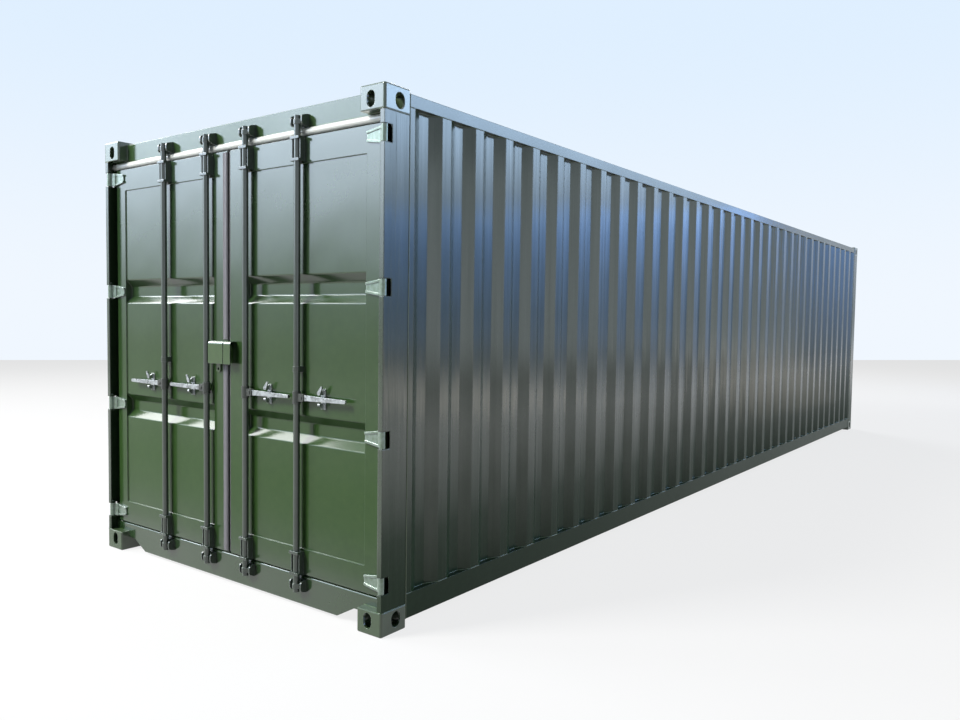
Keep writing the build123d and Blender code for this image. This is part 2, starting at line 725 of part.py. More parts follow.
def latch(x):
    """Swung-up latch on the upper lug of a catch: a boss with a tail that leans to the hinges."""
    z = HANDLE_PLACE + HANDLE_ROOT / 2 + CATCH_GAP + LATCH_RADIUS
    lean = radians(LATCH_ANGLE)
    boss = Circle(LATCH_RADIUS)
    tail = Pos(LATCH_TAIL * cos(lean), LATCH_TAIL * sin(lean)) * Circle(LATCH_TAIL_RADIUS)
    outline = make_hull([boss.edge(), tail.edge()])
    return extrude(front_plane(x, CATCH_FRONT, z) * outline, LATCH_THICKNESS, dir=(0, 1, 0))


def handle_catch(x):
    """Two lugs on a base plate, above and below a stowed handle, and the latch on the upper one."""
    half = CATCH_WIDTH / 2
    half_base = CATCH_BASE_HEIGHT / 2
    base_depths = (PANEL_FACE - CATCH_BASE, PANEL_FACE)
    base_z = (HANDLE_PLACE - half_base, HANDLE_PLACE + half_base)
    body = block((x - half, x + half), base_depths, base_z)
    lug_near = HANDLE_ROOT / 2 + CATCH_GAP
    root_depth = base_depths[0]
    for sign in (-1, 1):
        profile = [
            (root_depth, HANDLE_PLACE + sign * lug_near),
            (CATCH_FRONT, HANDLE_PLACE + sign * lug_near),
            (CATCH_FRONT, HANDLE_PLACE + sign * (lug_near + CATCH_LUG)),
            (root_depth, HANDLE_PLACE + sign * half_base),
        ]
        lug = side_prism(profile, (x - half / 2, x + half / 2))
        body += fillet(lug.edges().filter_by(Axis.X).sort_by(Axis.Y)[:2], CATCH_TIP_BEND)
    return body + latch(x)


def handle_catches():
    """Catches of the two handles on the right leaf."""
    return group([handle_catch(place + CATCH_FROM_BAR) for place in BAR_PLACES.values()])


def bent_hood(x_range, front, head, bend):
    """Solid form of the lock box, with the top front edge rounded by its bend."""
    form = block(x_range, (front, LEAF_FACE), (LOCK_BOX_FOOT, head))
    return fillet(form.edges().filter_by(Axis.X).group_by(Axis.Z)[-1].sort_by(Axis.Y)[0], bend)


def lock_box(x_range, end_plates, staple):
    """Pressed hood over the seam, open below and behind, with an end plate where x is listed."""
    head = LOCK_BOX_FOOT + LOCK_BOX_HEIGHT
    overlong = (x_range[0] - LOCK_BOX_PLATE, x_range[1] + LOCK_BOX_PLATE)
    inside_x = list(overlong)
    if x_range[0] in end_plates:
        inside_x[0] = x_range[0] + LOCK_BOX_PLATE
    if x_range[1] in end_plates:
        inside_x[1] = x_range[1] - LOCK_BOX_PLATE
    body = bent_hood(x_range, LOCK_BOX_FRONT, head, LOCK_BOX_BEND)
    body -= bent_hood(
        inside_x, LOCK_BOX_FRONT + LOCK_BOX_PLATE, head - LOCK_BOX_PLATE, LOCK_BOX_BEND - LOCK_BOX_PLATE
    )
    if staple:
        half = STAPLE_WIDTH / 2
        foot = LOCK_BOX_FOOT - STAPLE_DROP
        tab_depths = (LEAF_FACE - 2 * LOCK_BOX_PLATE, LEAF_FACE)
        tab = block((-STAPLE_PLACE - half, half - STAPLE_PLACE), tab_depths, (foot, head - LOCK_BOX_PLATE))
        tab = fillet(tab.edges().filter_by(Axis.Y).group_by(Axis.Z)[0], STAPLE_CORNER)
        hole_plane = front_plane(-STAPLE_PLACE, tab_depths[0], foot + half)
        tab -= extrude(hole_plane * Circle(STAPLE_HOLE), 2 * LOCK_BOX_PLATE, dir=(0, 1, 0))
        body += tab
    return body


def bar_with_cams(x):
    """Locking bar of the right leaf with a cam at each end; the horns point to the hinges when locked."""
    bar = upright(x, BAR_DEPTH, BAR_RADIUS, (BAR_FOOT, BAR_HEAD))
    nose = Pos(CAM_REACH - CAM_NOSE, 0) * Circle(CAM_NOSE)
    outline = make_hull([Circle(CAM_RADIUS).edge(), nose.edge()])
    for middle in (BAR_FOOT + CAM_FROM_BAR_END, BAR_HEAD - CAM_FROM_BAR_END):
        base = Pos(x, along(BAR_DEPTH), middle - CAM_THICKNESS / 2)
        bar += extrude(base * outline, CAM_THICKNESS, dir=(0, 0, 1))
    return bar


def fork(x):
    """Root of a handle: two cheeks as one lug on the hub, with the rivet that the grip hangs on."""
    half = FORK_HEIGHT / 2
    end = x + FORK_LENGTH
    depths = (BAR_DEPTH - FORK_THICKNESS / 2, BAR_DEPTH + FORK_THICKNESS / 2)
    lug = block((x, end), depths, (HANDLE_PLACE - half, HANDLE_PLACE + half))
    lug = fillet(lug.edges().filter_by(Axis.Y).group_by(Axis.X)[-1], FORK_BEND)
    head = front_plane(end - half, BAR_DEPTH - RIVET_LENGTH / 2, HANDLE_PLACE) * Circle(RIVET_RADIUS)
    return lug + extrude(head, RIVET_LENGTH, dir=(0, 1, 0))


def handle(x):
    """Handle of a bar on the right leaf, pointing to the hinges when stowed."""
    half_hub = HUB_HEIGHT / 2
    hub_z = (HANDLE_PLACE - half_hub, HANDLE_PLACE + half_hub)
    root = HANDLE_ROOT / 2
    tip = HANDLE_TIP / 2
    end = x + HANDLE_LENGTH
    outline = [
        (x + BAR_RADIUS, HANDLE_PLACE - root),
        (end - tip, HANDLE_PLACE - tip),
        (end - tip, HANDLE_PLACE + tip),
        (x + BAR_RADIUS, HANDLE_PLACE + root),
    ]
    depths = (BAR_DEPTH - HANDLE_THICKNESS / 2, BAR_DEPTH + HANDLE_THICKNESS / 2)
    grip = front_prism(outline, depths)
    round_end = front_plane(end - tip, depths[0], HANDLE_PLACE) * Circle(tip)
    grip += extrude(round_end, HANDLE_THICKNESS, dir=(0, 1, 0))
    body = grip + fork(x) + upright(x, BAR_DEPTH, HUB_RADIUS, hub_z)
    return body - upright(x, BAR_DEPTH, BAR_RADIUS + HUB_CLEARANCE, hub_z)


def body_nodes():
    """Every piece of the fixed body."""
    nodes = {
        "door_post_right": door_post(),
        "end_post_right": end_post(),
        "top_rail_right": top_rail(),
        "bottom_rail_right": bottom_rail(),
        "side_wall_right": side_wall(),
    }
    for name, shape in list(nodes.items()):
        nodes[name.replace("right", "left")] = mirrored(shape)
    nodes.update(casting_pairs())
    nodes["door_header"] = door_header()
    nodes["door_sill"] = door_sill()
    nodes["end_top_rail"] = end_top_rail()
    nodes["end_bottom_rail"] = end_bottom_rail()
    nodes["end_wall"] = end_wall()
    nodes["roof_panel"] = roof_panel()
    nodes["floor_deck"] = floor_deck()
    nodes["cross_members"] = cross_members()
    nodes["cam_keepers"] = cam_keepers()
    return nodes


def door_nodes():
    """Every piece that swings with a door, for both doors."""
    right = {
        "door_frame": door_frame(),
        "door_panel": door_panel(),
        "door_gasket": door_gasket(),
        "door_hinges": group([hinge(place) for place in HINGE_HEIGHTS]),
        "door_bar_guides": bar_guides(),
        "door_handle_catches": handle_catches(),
    }
    for place, x in BAR_PLACES.items():
        right[place + "_bar"] = bar_with_cams(x)
        right[place + "_handle"] = handle(x)
    nodes = {}
    for name, shape in right.items():
        nodes["right_" + name] = shape
        nodes["left_" + name] = mirrored(shape)
    nodes["left_lock_box"] = lock_box((-LOCK_BOX_LEFT, -LOCK_BOX_HALF_GAP), (-LOCK_BOX_LEFT,), True)
    nodes["right_lock_box"] = lock_box((LOCK_BOX_HALF_GAP, LOCK_BOX_RIGHT), (), False)
    return nodes


def main():
    os.makedirs("parts", exist_ok=True)
    for name, shape in {**body_nodes(), **door_nodes()}.items():
        export_step(shape, f"parts/{name}.step")


main()
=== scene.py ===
# %% [markdown]
# A shipping container in gloss paint, in a plain studio.
#
# The pieces of the container come ready made, at their real size and place. This script gives them their
# finish, adds what a welder, a fitter and a floor layer leave behind, and sets up the floor, the lamps and
# the camera. Everything is in metres: X runs across the container, Y from the doors to the blind end, Z up.

# %% The frame, and the scene's own settings
import math

import bmesh
import bpy
from mathutils import Matrix, Vector


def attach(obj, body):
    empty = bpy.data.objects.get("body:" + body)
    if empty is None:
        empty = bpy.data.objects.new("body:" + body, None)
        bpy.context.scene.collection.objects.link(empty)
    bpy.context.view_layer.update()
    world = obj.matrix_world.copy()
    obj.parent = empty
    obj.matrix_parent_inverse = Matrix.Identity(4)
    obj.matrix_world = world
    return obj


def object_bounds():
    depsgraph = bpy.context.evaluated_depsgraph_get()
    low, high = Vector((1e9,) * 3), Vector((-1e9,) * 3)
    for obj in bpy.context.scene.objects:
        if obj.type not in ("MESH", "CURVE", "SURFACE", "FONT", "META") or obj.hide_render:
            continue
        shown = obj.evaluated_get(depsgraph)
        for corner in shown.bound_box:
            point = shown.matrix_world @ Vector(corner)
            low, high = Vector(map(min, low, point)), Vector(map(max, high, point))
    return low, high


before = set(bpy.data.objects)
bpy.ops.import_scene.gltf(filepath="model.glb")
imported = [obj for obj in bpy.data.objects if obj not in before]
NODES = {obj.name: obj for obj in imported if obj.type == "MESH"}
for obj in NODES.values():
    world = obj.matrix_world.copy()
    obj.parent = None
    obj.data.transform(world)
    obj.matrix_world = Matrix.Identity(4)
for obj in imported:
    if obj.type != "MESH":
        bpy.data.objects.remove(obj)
cad_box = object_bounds()
LOW, HIGH = (Vector(corner) for corner in cad_box)
DOOR_END = LOW.y
bpy.context.scene.view_settings.view_transform = "Standard"
print("container", [round(size, 3) for size in HIGH - LOW], "m,", len(NODES), "pieces")

# %% [markdown]
# The camera stands at head height in front of the doors and to the right, turned to the left so that the
# long side runs away from it. Two turns and a small roll say where it looks; the lens follows from the
# width of the sensor and the focal length measured in pixels of the picture.

# %% The camera
PICTURE_WIDTH = 960
FOCAL_PIXELS = 803.0
CAMERA_TURN = math.radians(36.64)
CAMERA_DIP = math.radians(2.98)
CAMERA_ROLL = math.radians(0.81)
CAMERA_PLACE = Vector((3.794, DOOR_END - 2.709, 1.518))


def camera_axes():
    """Right, up and ahead of the camera, as unit vectors."""
    level = math.cos(CAMERA_DIP)
    ahead = Vector((-math.sin(CAMERA_TURN) * level, math.cos(CAMERA_TURN) * level, -math.sin(CAMERA_DIP)))
    right = Vector((math.cos(CAMERA_TURN), math.sin(CAMERA_TURN), 0))
    up = right.cross(ahead)
    rolled_right = math.cos(CAMERA_ROLL) * right + math.sin(CAMERA_ROLL) * up
    rolled_up = -math.sin(CAMERA_ROLL) * right + math.cos(CAMERA_ROLL) * up
    return rolled_right, rolled_up, ahead


RIGHT, UP, AHEAD = camera_axes()
camera = bpy.data.objects.new("camera", bpy.data.cameras.new("camera"))
camera.data.lens = FOCAL_PIXELS / PICTURE_WIDTH * camera.data.sensor_width
camera.data.clip_end = 200
camera.matrix_world = Matrix.Translation(CAMERA_PLACE) @ Matrix((RIGHT, UP, -AHEAD)).transposed().to_4x4()
bpy.context.collection.objects.link(camera)
bpy.context.scene.camera = camera
print("lens", round(camera.data.lens, 1), "mm")

# %% [markdown]
# Materials are built from nodes. Writing each node and each link by hand is long, so small helpers do it:
# one adds a node and fills its inputs, one makes a colour ramp, one does arithmetic. An input may be a
# plain value or the output of another node, and then it is linked.


# %% Helpers for node trees
def add(tree, kind, inputs=None, **settings):
    """New node of a kind, with its settings and its inputs filled or linked."""
    node = tree.nodes.new(kind)
    for name, value in settings.items():
        setattr(node, name, value)
    for name, value in (inputs or {}).items():
        socket = node.inputs[name]
        if isinstance(value, bpy.types.NodeSocket):
            tree.links.new(value, socket)
        else:
            socket.default_value = value
    return node


def ramp(tree, factor, stops, ease="EASE"):
    """Colour ramp through (position, colour) stops."""
    node = add(tree, "ShaderNodeValToRGB", {"Fac": factor})
    elements = node.color_ramp.elements
    node.color_ramp.interpolation = ease
    while len(elements) < len(stops):
        elements.new(0.5)
    for element, (position, colour) in zip(elements, stops):
        element.position = position
        element.color = (*colour, 1)
    return node.outputs["Color"]


def maths(tree, operation, first, second=0.0, third=0.0, clamp=False):
    """One sum, product or the like of two or three values."""
    inputs = {0: first, 1: second, 2: third}
    return add(tree, "ShaderNodeMath", inputs, operation=operation, use_clamp=clamp).outputs[0]


def noise_share(tree, place, scale, detail):
    """Soft noise between 0 and 1."""
    return add(tree, "ShaderNodeTexNoise", {"Vector": place, "Scale": scale, "Detail": detail}).outputs["Fac"]


def blend_colours(tree, factor, first, second):
    """Mix of two colours."""
    node = add(tree, "ShaderNodeMix", data_type="RGBA", blend_type="MIX")
    for socket, value in ((0, factor), (6, first), (7, second)):
        if isinstance(value, bpy.types.NodeSocket):
            tree.links.new(value, node.inputs[socket])
        elif socket == 0:
            node.inputs[socket].default_value = value
        else:
            node.inputs[socket].default_value = (*value, 1)
    return node.outputs[2]


def from_bytes(red, green, blue):
    """Linear colour of a screen colour given in steps of 0 to 255."""
    def linear(step):
        """Undoes the screen's own curve for one part of a colour."""
        share = step / 255
        return share / 12.92 if share <= 0.04045 else ((share + 0.055) / 1.055) ** 2.4
    return tuple(linear(step) for step in (red, green, blue))


# %% [markdown]
# The backdrop is a pale blue sky over a pale grey floor. The camera and the shine of the paint see the
# same backdrop. The light that falls on the container comes from a dim even world and a few soft lamps,
# so that a colour renders about as it is written.

# %% Backdrop: the sky
SKY_TOP = from_bytes(223, 239, 255)
SKY_LOW = from_bytes(240, 247, 255)
SKY_TOP_RISE = 0.36
WORLD_LIGHT = (0.10, 0.12, 0.15)


def backdrop_rays(tree):
    """1 for rays that see the backdrop: the camera's, mirrored ones and those through glass."""
    path = add(tree, "ShaderNodeLightPath")
    glossy = maths(tree, "MAXIMUM", path.outputs["Is Camera Ray"], path.outputs["Is Glossy Ray"])
    return maths(tree, "MAXIMUM", glossy, path.outputs["Is Transmission Ray"])


def build_world():
    """Sky that the camera sees, and a dim even light that falls on the container."""
    world = bpy.data.worlds.new("studio")
    world.use_nodes = True
    bpy.context.scene.world = world
    tree = world.node_tree
    tree.nodes.clear()
    direction = add(tree, "ShaderNodeTexCoord").outputs["Generated"]
    rise = add(tree, "ShaderNodeSeparateXYZ", {0: direction}).outputs["Z"]
    sky = ramp(tree, maths(tree, "DIVIDE", rise, SKY_TOP_RISE), [(0, SKY_LOW), (1, SKY_TOP)])
    seen = add(tree, "ShaderNodeBackground", {"Color": sky, "Strength": 1.0})
    lit = add(tree, "ShaderNodeBackground", {"Color": (*WORLD_LIGHT, 1), "Strength": 1.0})
    mixed = add(tree, "ShaderNodeMixShader", {0: backdrop_rays(tree)})
    tree.links.new(lit.outputs[0], mixed.inputs[1])
    tree.links.new(seen.outputs[0], mixed.inputs[2])
    add(tree, "ShaderNodeOutputWorld", {"Surface": mixed.outputs[0]})


build_world()
print("sky", [round(value, 2) for value in SKY_TOP])

# %% [markdown]
# The floor ends in a straight line, level in the picture: there the floor meets the plane that the camera
# looks along. It goes from near white before the doors to light grey far off, by the distance from a fixed
# point on the ground, the one straight under the camera, and it keeps a soft shadow. The point is written
# as a plain place, so the fade stays where it is when the container is seen from elsewhere.

# %% Backdrop: the floor
FLOOR_FAR = from_bytes(238, 238, 238)
FLOOR_NEAR = from_bytes(248, 248, 248)
FLOOR_SIDE = 60.0
FLOOR_BEHIND = 140.0
FLOOR_FADE = (4.0, 24.0)
FLOOR_SHADE = 0.14
FLOOR_BOUNCE = 0.20
FLOOR_FRONT = (3.8, -7.6, 0.0)


def far_edge(sideways):
    """Point of the floor's far edge that lies so far to the right of the camera."""
    ahead = -(CAMERA_PLACE.z + sideways * RIGHT.z) / AHEAD.z
    return CAMERA_PLACE + ahead * AHEAD + sideways * RIGHT


def floor_material():
    """Pale sheet that glows for the camera and bounces little light."""
    material = bpy.data.materials.new("studio_floor")
    material.use_nodes = True
    tree = material.node_tree
    tree.nodes.clear()
    spot = add(tree, "ShaderNodeTexCoord").outputs["Object"]
    from_front = add(tree, "ShaderNodeVectorMath", {0: spot, 1: FLOOR_FRONT}, operation="SUBTRACT")
    distance = add(tree, "ShaderNodeVectorMath", {0: from_front.outputs[0]}, operation="LENGTH")
    fade = add(tree, "ShaderNodeMapRange", {"Value": distance.outputs["Value"], "From Min": FLOOR_FADE[0],
                                            "From Max": FLOOR_FADE[1]})
    colour = ramp(tree, fade.outputs[0], [(0, FLOOR_NEAR), (1, FLOOR_FAR)], ease="LINEAR")
    plain = add(tree, "ShaderNodeBsdfDiffuse", {"Color": (*(FLOOR_BOUNCE,) * 3, 1)})
    glow = add(tree, "ShaderNodeEmission", {"Color": colour, "Strength": 1.0})
    shaded = add(tree, "ShaderNodeBsdfDiffuse", {"Color": colour})
    pale = add(tree, "ShaderNodeMixShader", {0: FLOOR_SHADE})
    tree.links.new(glow.outputs[0], pale.inputs[1])
    tree.links.new(shaded.outputs[0], pale.inputs[2])
    mixed = add(tree, "ShaderNodeMixShader", {0: backdrop_rays(tree)})
    tree.links.new(plain.outputs[0], mixed.inputs[1])
    tree.links.new(pale.outputs[0], mixed.inputs[2])
    add(tree, "ShaderNodeOutputMaterial", {"Surface": mixed.outputs[0]})
    return material


def studio_floor():
    """One large sheet under the container."""
    far_right, far_left = far_edge(FLOOR_SIDE), far_edge(-FLOOR_SIDE)
    back = Vector((0, -FLOOR_BEHIND, 0))
    corners = [far_left, far_left + back, far_right + back, far_right]
    mesh = bpy.data.meshes.new("studio_floor")
    mesh.from_pydata([(corner.x, corner.y, 0) for corner in corners], [], [(0, 1, 2, 3)])
    floor = bpy.data.objects.new("studio_floor", mesh)
    bpy.context.collection.objects.link(floor)
    floor.data.materials.append(floor_material())


studio_floor()
print("floor ends", round(far_edge(0).y, 1), "m along the container")

# %% [markdown]
# Gloss paint shows its lamps, so they are large and soft. The main lamp stands high before the doors, and
# one high on the left gives the pressed bands their white edges. A long low one before the doors shows in
# their upper half. Two beyond the blind end show in the long side, blue as the sky there. A warm one on
# the floor shows in its lower half, one along it lights its ribs, and one behind lights the far sides.
# Those with a fade go dark towards their foot, so that they draw no hard edge in the paint.

# %% Lamps
LAMPS = {
    "key": dict(place=(-7, -15, 13), target=(0, -4.9, 1.3), size=(5, 5), power=3900,
                colour=(1.0, 0.98, 0.92)),
    "high_left": dict(place=(-13, -9, 9.5), target=(0, -4.9, 1.3), size=(7, 5), power=1500,
                      colour=(1.0, 1.0, 1.0)),
    "door_sheen": dict(place=(-9.2, -14.3, 5.0), target=(0, -4.9, 2.6), size=(11, 6), power=1850,
                       colour=(0.70, 0.82, 1.0), fade=True),
    "side_sheen": dict(place=(12.7, 12.8, 6.6), target=(3.4, -4.2, 2.2), size=(15, 5), power=2350,
                       colour=(0.50, 0.72, 1.0), fade=True),
    "side_blue": dict(place=(12.7, 12.3, 2.4), target=(3.4, -4.2, 1.7), size=(15, 4.8), power=830,
                      colour=(0.10, 0.36, 1.0), fade=True),
    "along_side": dict(place=(13, -2, 2.6), target=(1.2, -2, 1.3), size=(16, 4), power=150,
                       colour=(0.84, 0.98, 1.0)),
    "side_foot": dict(place=(6.6, 4, 0.03), target=(6.4, 4, 3.0), size=(4.6, 24), power=300,
                      colour=(1.0, 0.90, 0.74)),
    "behind_left": dict(place=(-10, 13, 9), target=(0, 4.9, 1.3), size=(7, 6), power=1900,
                        colour=(1.0, 1.0, 1.0)),
}


def lamp(name, place, target, size, power, colour, fade=False):
    """Soft lamp that points at a target; a fading one is dark at its foot and bright at its top."""
    light = bpy.data.lights.new(name, "AREA")
    light.shape = "RECTANGLE"
    light.size, light.size_y = size
    light.energy = power
    light.color = colour
    if fade:
        light.use_nodes = True
        tree = light.node_tree
        across = add(tree, "ShaderNodeNewGeometry").outputs["Parametric"]
        upwards = add(tree, "ShaderNodeSeparateXYZ", {0: across}).outputs["Y"]
        glow = tree.nodes["Emission"]
        tree.links.new(upwards, glow.inputs["Strength"])
    holder = bpy.data.objects.new(name, light)
    holder.location = place
    holder.rotation_euler = (Vector(target) - Vector(place)).to_track_quat("-Z", "Y").to_euler()
    holder.visible_camera = False
    bpy.context.collection.objects.link(holder)


for name, settings in LAMPS.items():
    lamp(name, **settings)
print("lamps", ", ".join(LAMPS))

# %% [markdown]
# The paint is one dark green gloss. On the real container light and dark bands lie in it, one above the
# other: they mirror what stands around. Here a share of the shine at each height gives bands much like
# them, with one list for the doors and one for the long sides. The slopes of the ribs have a share of
# their own. Each list holds (share of the height, share of the shine), and a colour ramp reads it.

# %% Greens, and the shine at each height
GREEN_DARK = (0.028, 0.070, 0.014)
GREEN_FULL = (0.044, 0.094, 0.022)
# Deep green that doors and header are darkened towards where they shine most: painted shade.
SHINE_SHADE_GREEN = (0.010, 0.026, 0.013)
# Darker copy of the door greens for the walls, posts and rails: painted shade on the long side.
SHADED_SIDE_DARK = (0.016, 0.034, 0.014)
SHADED_SIDE_FULL = (0.026, 0.048, 0.022)
CAST_DARK = (0.045, 0.075, 0.036)
CAST_FULL = (0.062, 0.098, 0.050)
FORGED_DARK = (0.036, 0.050, 0.038)
FORGED_FULL = (0.056, 0.076, 0.058)
# Pale colour put on every edge of the paint: a painted highlight.
EDGE_HIGHLIGHT = (0.34, 0.40, 0.37)
SHINE_ON_SIDE = [(0.0, 0.08), (0.08, 0.10), (0.116, 0.14), (0.17, 0.22), (0.23, 0.52), (0.30, 0.80),
                 (0.367, 1.0), (0.42, 0.88), (0.50, 0.54), (0.60, 0.36), (0.70, 0.38), (0.80, 0.52),
                 (0.93, 0.66)]
SHINE_ON_SLOPES = [(0.0, 0.2), (0.08, 0.5), (0.2, 1.1), (0.4, 1.7), (1.0, 1.5)]
SHINE_ON_DOORS = [(0.06, 1.0), (0.10, 0.60), (0.18, 0.34), (0.25, 0.28), (0.40, 0.46), (0.55, 0.66),
                  (0.70, 0.88), (0.88, 1.0)]
SHINE_FULL = [(0.0, 0.7), (1.0, 1.0)]
SHINE_ON_ROOF = [(0.0, 0.25), (1.0, 0.25)]
SHINE_ON_HEADER = [(0.0, 0.78), (1.0, 0.78)]


def new_material(name):
    """Material with an empty node tree."""
    material = bpy.data.materials.new(name)
    material.use_nodes = True
    material.node_tree.nodes.clear()
    return material, material.node_tree


def shine_by_height(tree, spot, stops):
    """Share of the shine at a height, from stops of (share of the height, shine)."""
    z = add(tree, "ShaderNodeSeparateXYZ", {0: spot}).outputs["Z"]
    share = maths(tree, "DIVIDE", z, HIGH.z)
    return ramp(tree, share, [(position, (shine,) * 3) for position, shine in stops], ease="LINEAR")


print("shine at", len(SHINE_ON_SIDE), "heights of the sides and", len(SHINE_ON_DOORS), "of the doors")

# %% [markdown]
# A slow noise bends the shine as thin sheet does, a very fine one gives the orange peel of sprayed paint,
# and on the long sides a noise stretched upwards gives the streaks that rolling leaves in the sheet. The
# Bevel node rounds each edge in the shading, and where it turns the normal there is an edge: there the
# colour is paler, a painted highlight. The drip lip along the foot of the header gets a near-white colour,
# a painted highlight too. Castings and forged fittings have greyer greens than the doors. The walls, posts
# and rails have a darker copy of the door green, which is painted shade, and a door is darkened towards a
# deep green where it shines most, which is painted shade as well.

# %% Gloss paint
SHEET_WAVE = 1.3
MOTTLE_SCALE = 26.0
PEEL_SCALE = 420
PEEL_STRENGTH = 0.10
PEEL_DEPTH = 0.0004
STREAK_SCALE = 3.0
STREAK_STRETCH = (9.0, 9.0, 0.35)
PATCH_LEAST = 0.75
PATCH_SPREAD = 0.5
ROUGH_SPREAD = 0.12
EDGE_RADIUS = 0.004
# Near-white colour of the drip lip: a painted highlight.
LIP_HIGHLIGHT = (0.70, 0.71, 0.66)
LIP_TOP = 2.4675
LIP_BACK = DOOR_END + 0.059
COAT_IOR = 1.8
COAT_ROUGHNESS = 0.13
BASE_SPECULAR = 0.05


def edge_highlight_share(tree, rounded, spread):
    """Share of painted highlight: 0 on a flat face, up to 1 where the Bevel node turns the normal near an
    edge.
    """
    flat = add(tree, "ShaderNodeNewGeometry").outputs["Normal"]
    alike = add(tree, "ShaderNodeVectorMath", {0: rounded, 1: flat}, operation="DOT_PRODUCT").outputs["Value"]
    turned = maths(tree, "SUBTRACT", 1.0, alike)
    return maths(tree, "MULTIPLY", turned, spread, clamp=True)


def on_lip(tree, spot):
    """1 on the drip lip along the foot of the header, which stands in front of its face."""
    parts = add(tree, "ShaderNodeSeparateXYZ", {0: spot})
    low = maths(tree, "LESS_THAN", parts.outputs["Z"], LIP_TOP)
    front = maths(tree, "LESS_THAN", parts.outputs["Y"], LIP_BACK)
    return maths(tree, "MULTIPLY", low, front)


def gloss_paint(name, shine, wave=0.004, streaks=0.0, edges=0.5, edge_radius=EDGE_RADIUS, roughness=0.38,
                slopes=None, greens=(GREEN_DARK, GREEN_FULL), shade_where_shining=0.0, lip=False):
    """Green gloss paint on slightly wavy sheet, with a painted highlight at its edges."""
    material, tree = new_material(name)
    spot = add(tree, "ShaderNodeTexCoord").outputs["Object"]
    slow = noise_share(tree, spot, SHEET_WAVE, 2.0)
    fine = noise_share(tree, spot, MOTTLE_SCALE, 6.0)
    peel = noise_share(tree, spot, PEEL_SCALE, 1.0)
    upright = add(tree, "ShaderNodeMapping", {"Vector": spot, "Scale": STREAK_STRETCH}).outputs[0]
    streak = noise_share(tree, upright, STREAK_SCALE, 4.0)
    rounded = add(tree, "ShaderNodeBevel", {"Radius": edge_radius}, samples=4).outputs[0]
    bumped = add(tree, "ShaderNodeBump", {"Height": slow, "Strength": 1.0, "Distance": wave,
                                          "Normal": rounded})
    streaked = add(tree, "ShaderNodeBump", {"Height": streak, "Strength": 1.0, "Distance": streaks,
                                            "Normal": bumped.outputs[0]})
    peeled = add(tree, "ShaderNodeBump", {"Height": peel, "Strength": PEEL_STRENGTH, "Distance": PEEL_DEPTH,
                                          "Normal": streaked.outputs[0]})
    left = shine_by_height(tree, spot, shine)
    # The base green is darkened where the shine is high: painted shade.
    shine_shade = maths(tree, "MULTIPLY", left, shade_where_shining, clamp=True)
    green = blend_colours(tree, shine_shade, blend_colours(tree, fine, *greens), SHINE_SHADE_GREEN)
    # Every edge gets the pale painted highlight.
    colour = blend_colours(tree, edge_highlight_share(tree, rounded, edges), green, EDGE_HIGHLIGHT)
    # On the header, the drip lip gets the near-white painted highlight.
    if lip:
        colour = blend_colours(tree, on_lip(tree, spot), colour, LIP_HIGHLIGHT)
    patchy = maths(tree, "MULTIPLY_ADD", streak if streaks else slow, PATCH_SPREAD, PATCH_LEAST)
    if slopes:
        facing = add(tree, "ShaderNodeNewGeometry").outputs["Normal"]
        turned = maths(tree, "ABSOLUTE", add(tree, "ShaderNodeSeparateXYZ", {0: facing}).outputs["Y"])
        on_slopes = maths(tree, "MULTIPLY", turned, shine_by_height(tree, spot, slopes))
        left = maths(tree, "MAXIMUM", left, on_slopes)
    coat = maths(tree, "MULTIPLY", left, patchy, clamp=True)
    rough = maths(tree, "MULTIPLY_ADD", fine, ROUGH_SPREAD, roughness - ROUGH_SPREAD / 2)
    shader = add(tree, "ShaderNodeBsdfPrincipled", {
        "Base Color": colour, "Roughness": rough,
        "Specular IOR Level": BASE_SPECULAR, "Normal": peeled.outputs[0], "Coat Weight": coat,
        "Coat Roughness": COAT_ROUGHNESS, "Coat IOR": COAT_IOR, "Coat Normal": peeled.outputs[0],
    })
    add(tree, "ShaderNodeOutputMaterial", {"Surface": shader.outputs[0]})
    return material


PAINTS = {
    # Doors and header are darkened where they shine, which is painted shade.
    "door": gloss_paint("door_paint", SHINE_ON_DOORS, wave=0.010, edges=0.8, shade_where_shining=0.65),
    # Walls, posts and rails take the darker greens, which are painted shade.
    "side": gloss_paint("side_paint", SHINE_ON_SIDE, wave=0.004, streaks=0.003, edges=0.25, edge_radius=0.008,
                         slopes=SHINE_ON_SLOPES, greens=(SHADED_SIDE_DARK, SHADED_SIDE_FULL)),
    "roof": gloss_paint("roof_paint", SHINE_ON_ROOF, wave=0.004, edges=0.25, roughness=0.5),
    "frame": gloss_paint("frame_paint", SHINE_ON_SIDE, wave=0.001, edges=0.9, greens=(SHADED_SIDE_DARK, SHADED_SIDE_FULL)),
    "header": gloss_paint("header_paint", SHINE_ON_HEADER, wave=0.002, edges=1.2, shade_where_shining=0.4, lip=True),
    "casting": gloss_paint("casting_paint", SHINE_FULL, wave=0.001, edges=1.4, roughness=0.45,
                            greens=(CAST_DARK, CAST_FULL)),
    "fitting": gloss_paint("fitting_paint", SHINE_FULL, wave=0.0, edges=2.4, edge_radius=0.003, roughness=0.3,
                            greens=(FORGED_DARK, FORGED_FULL)),
    "lock_box": gloss_paint("lock_box_paint", SHINE_FULL, wave=0.0, edges=1.2, edge_radius=0.003,
                             roughness=0.3),
    "bead": gloss_paint("bead_paint", SHINE_FULL, wave=0.0, edges=0.0, roughness=0.3),
}
print(len(PAINTS), "paints")

# %% [markdown]
# The hinges are painted too, but their rims get a near-white painted highlight that reaches far in from
# each edge, so their paint is nearly all highlight. The handles are galvanised grips in dark forged forks:
# one material tells the two apart by the distance from the axis of the locking bar. Zinc has a faint
# spangle, made from Voronoi cells.

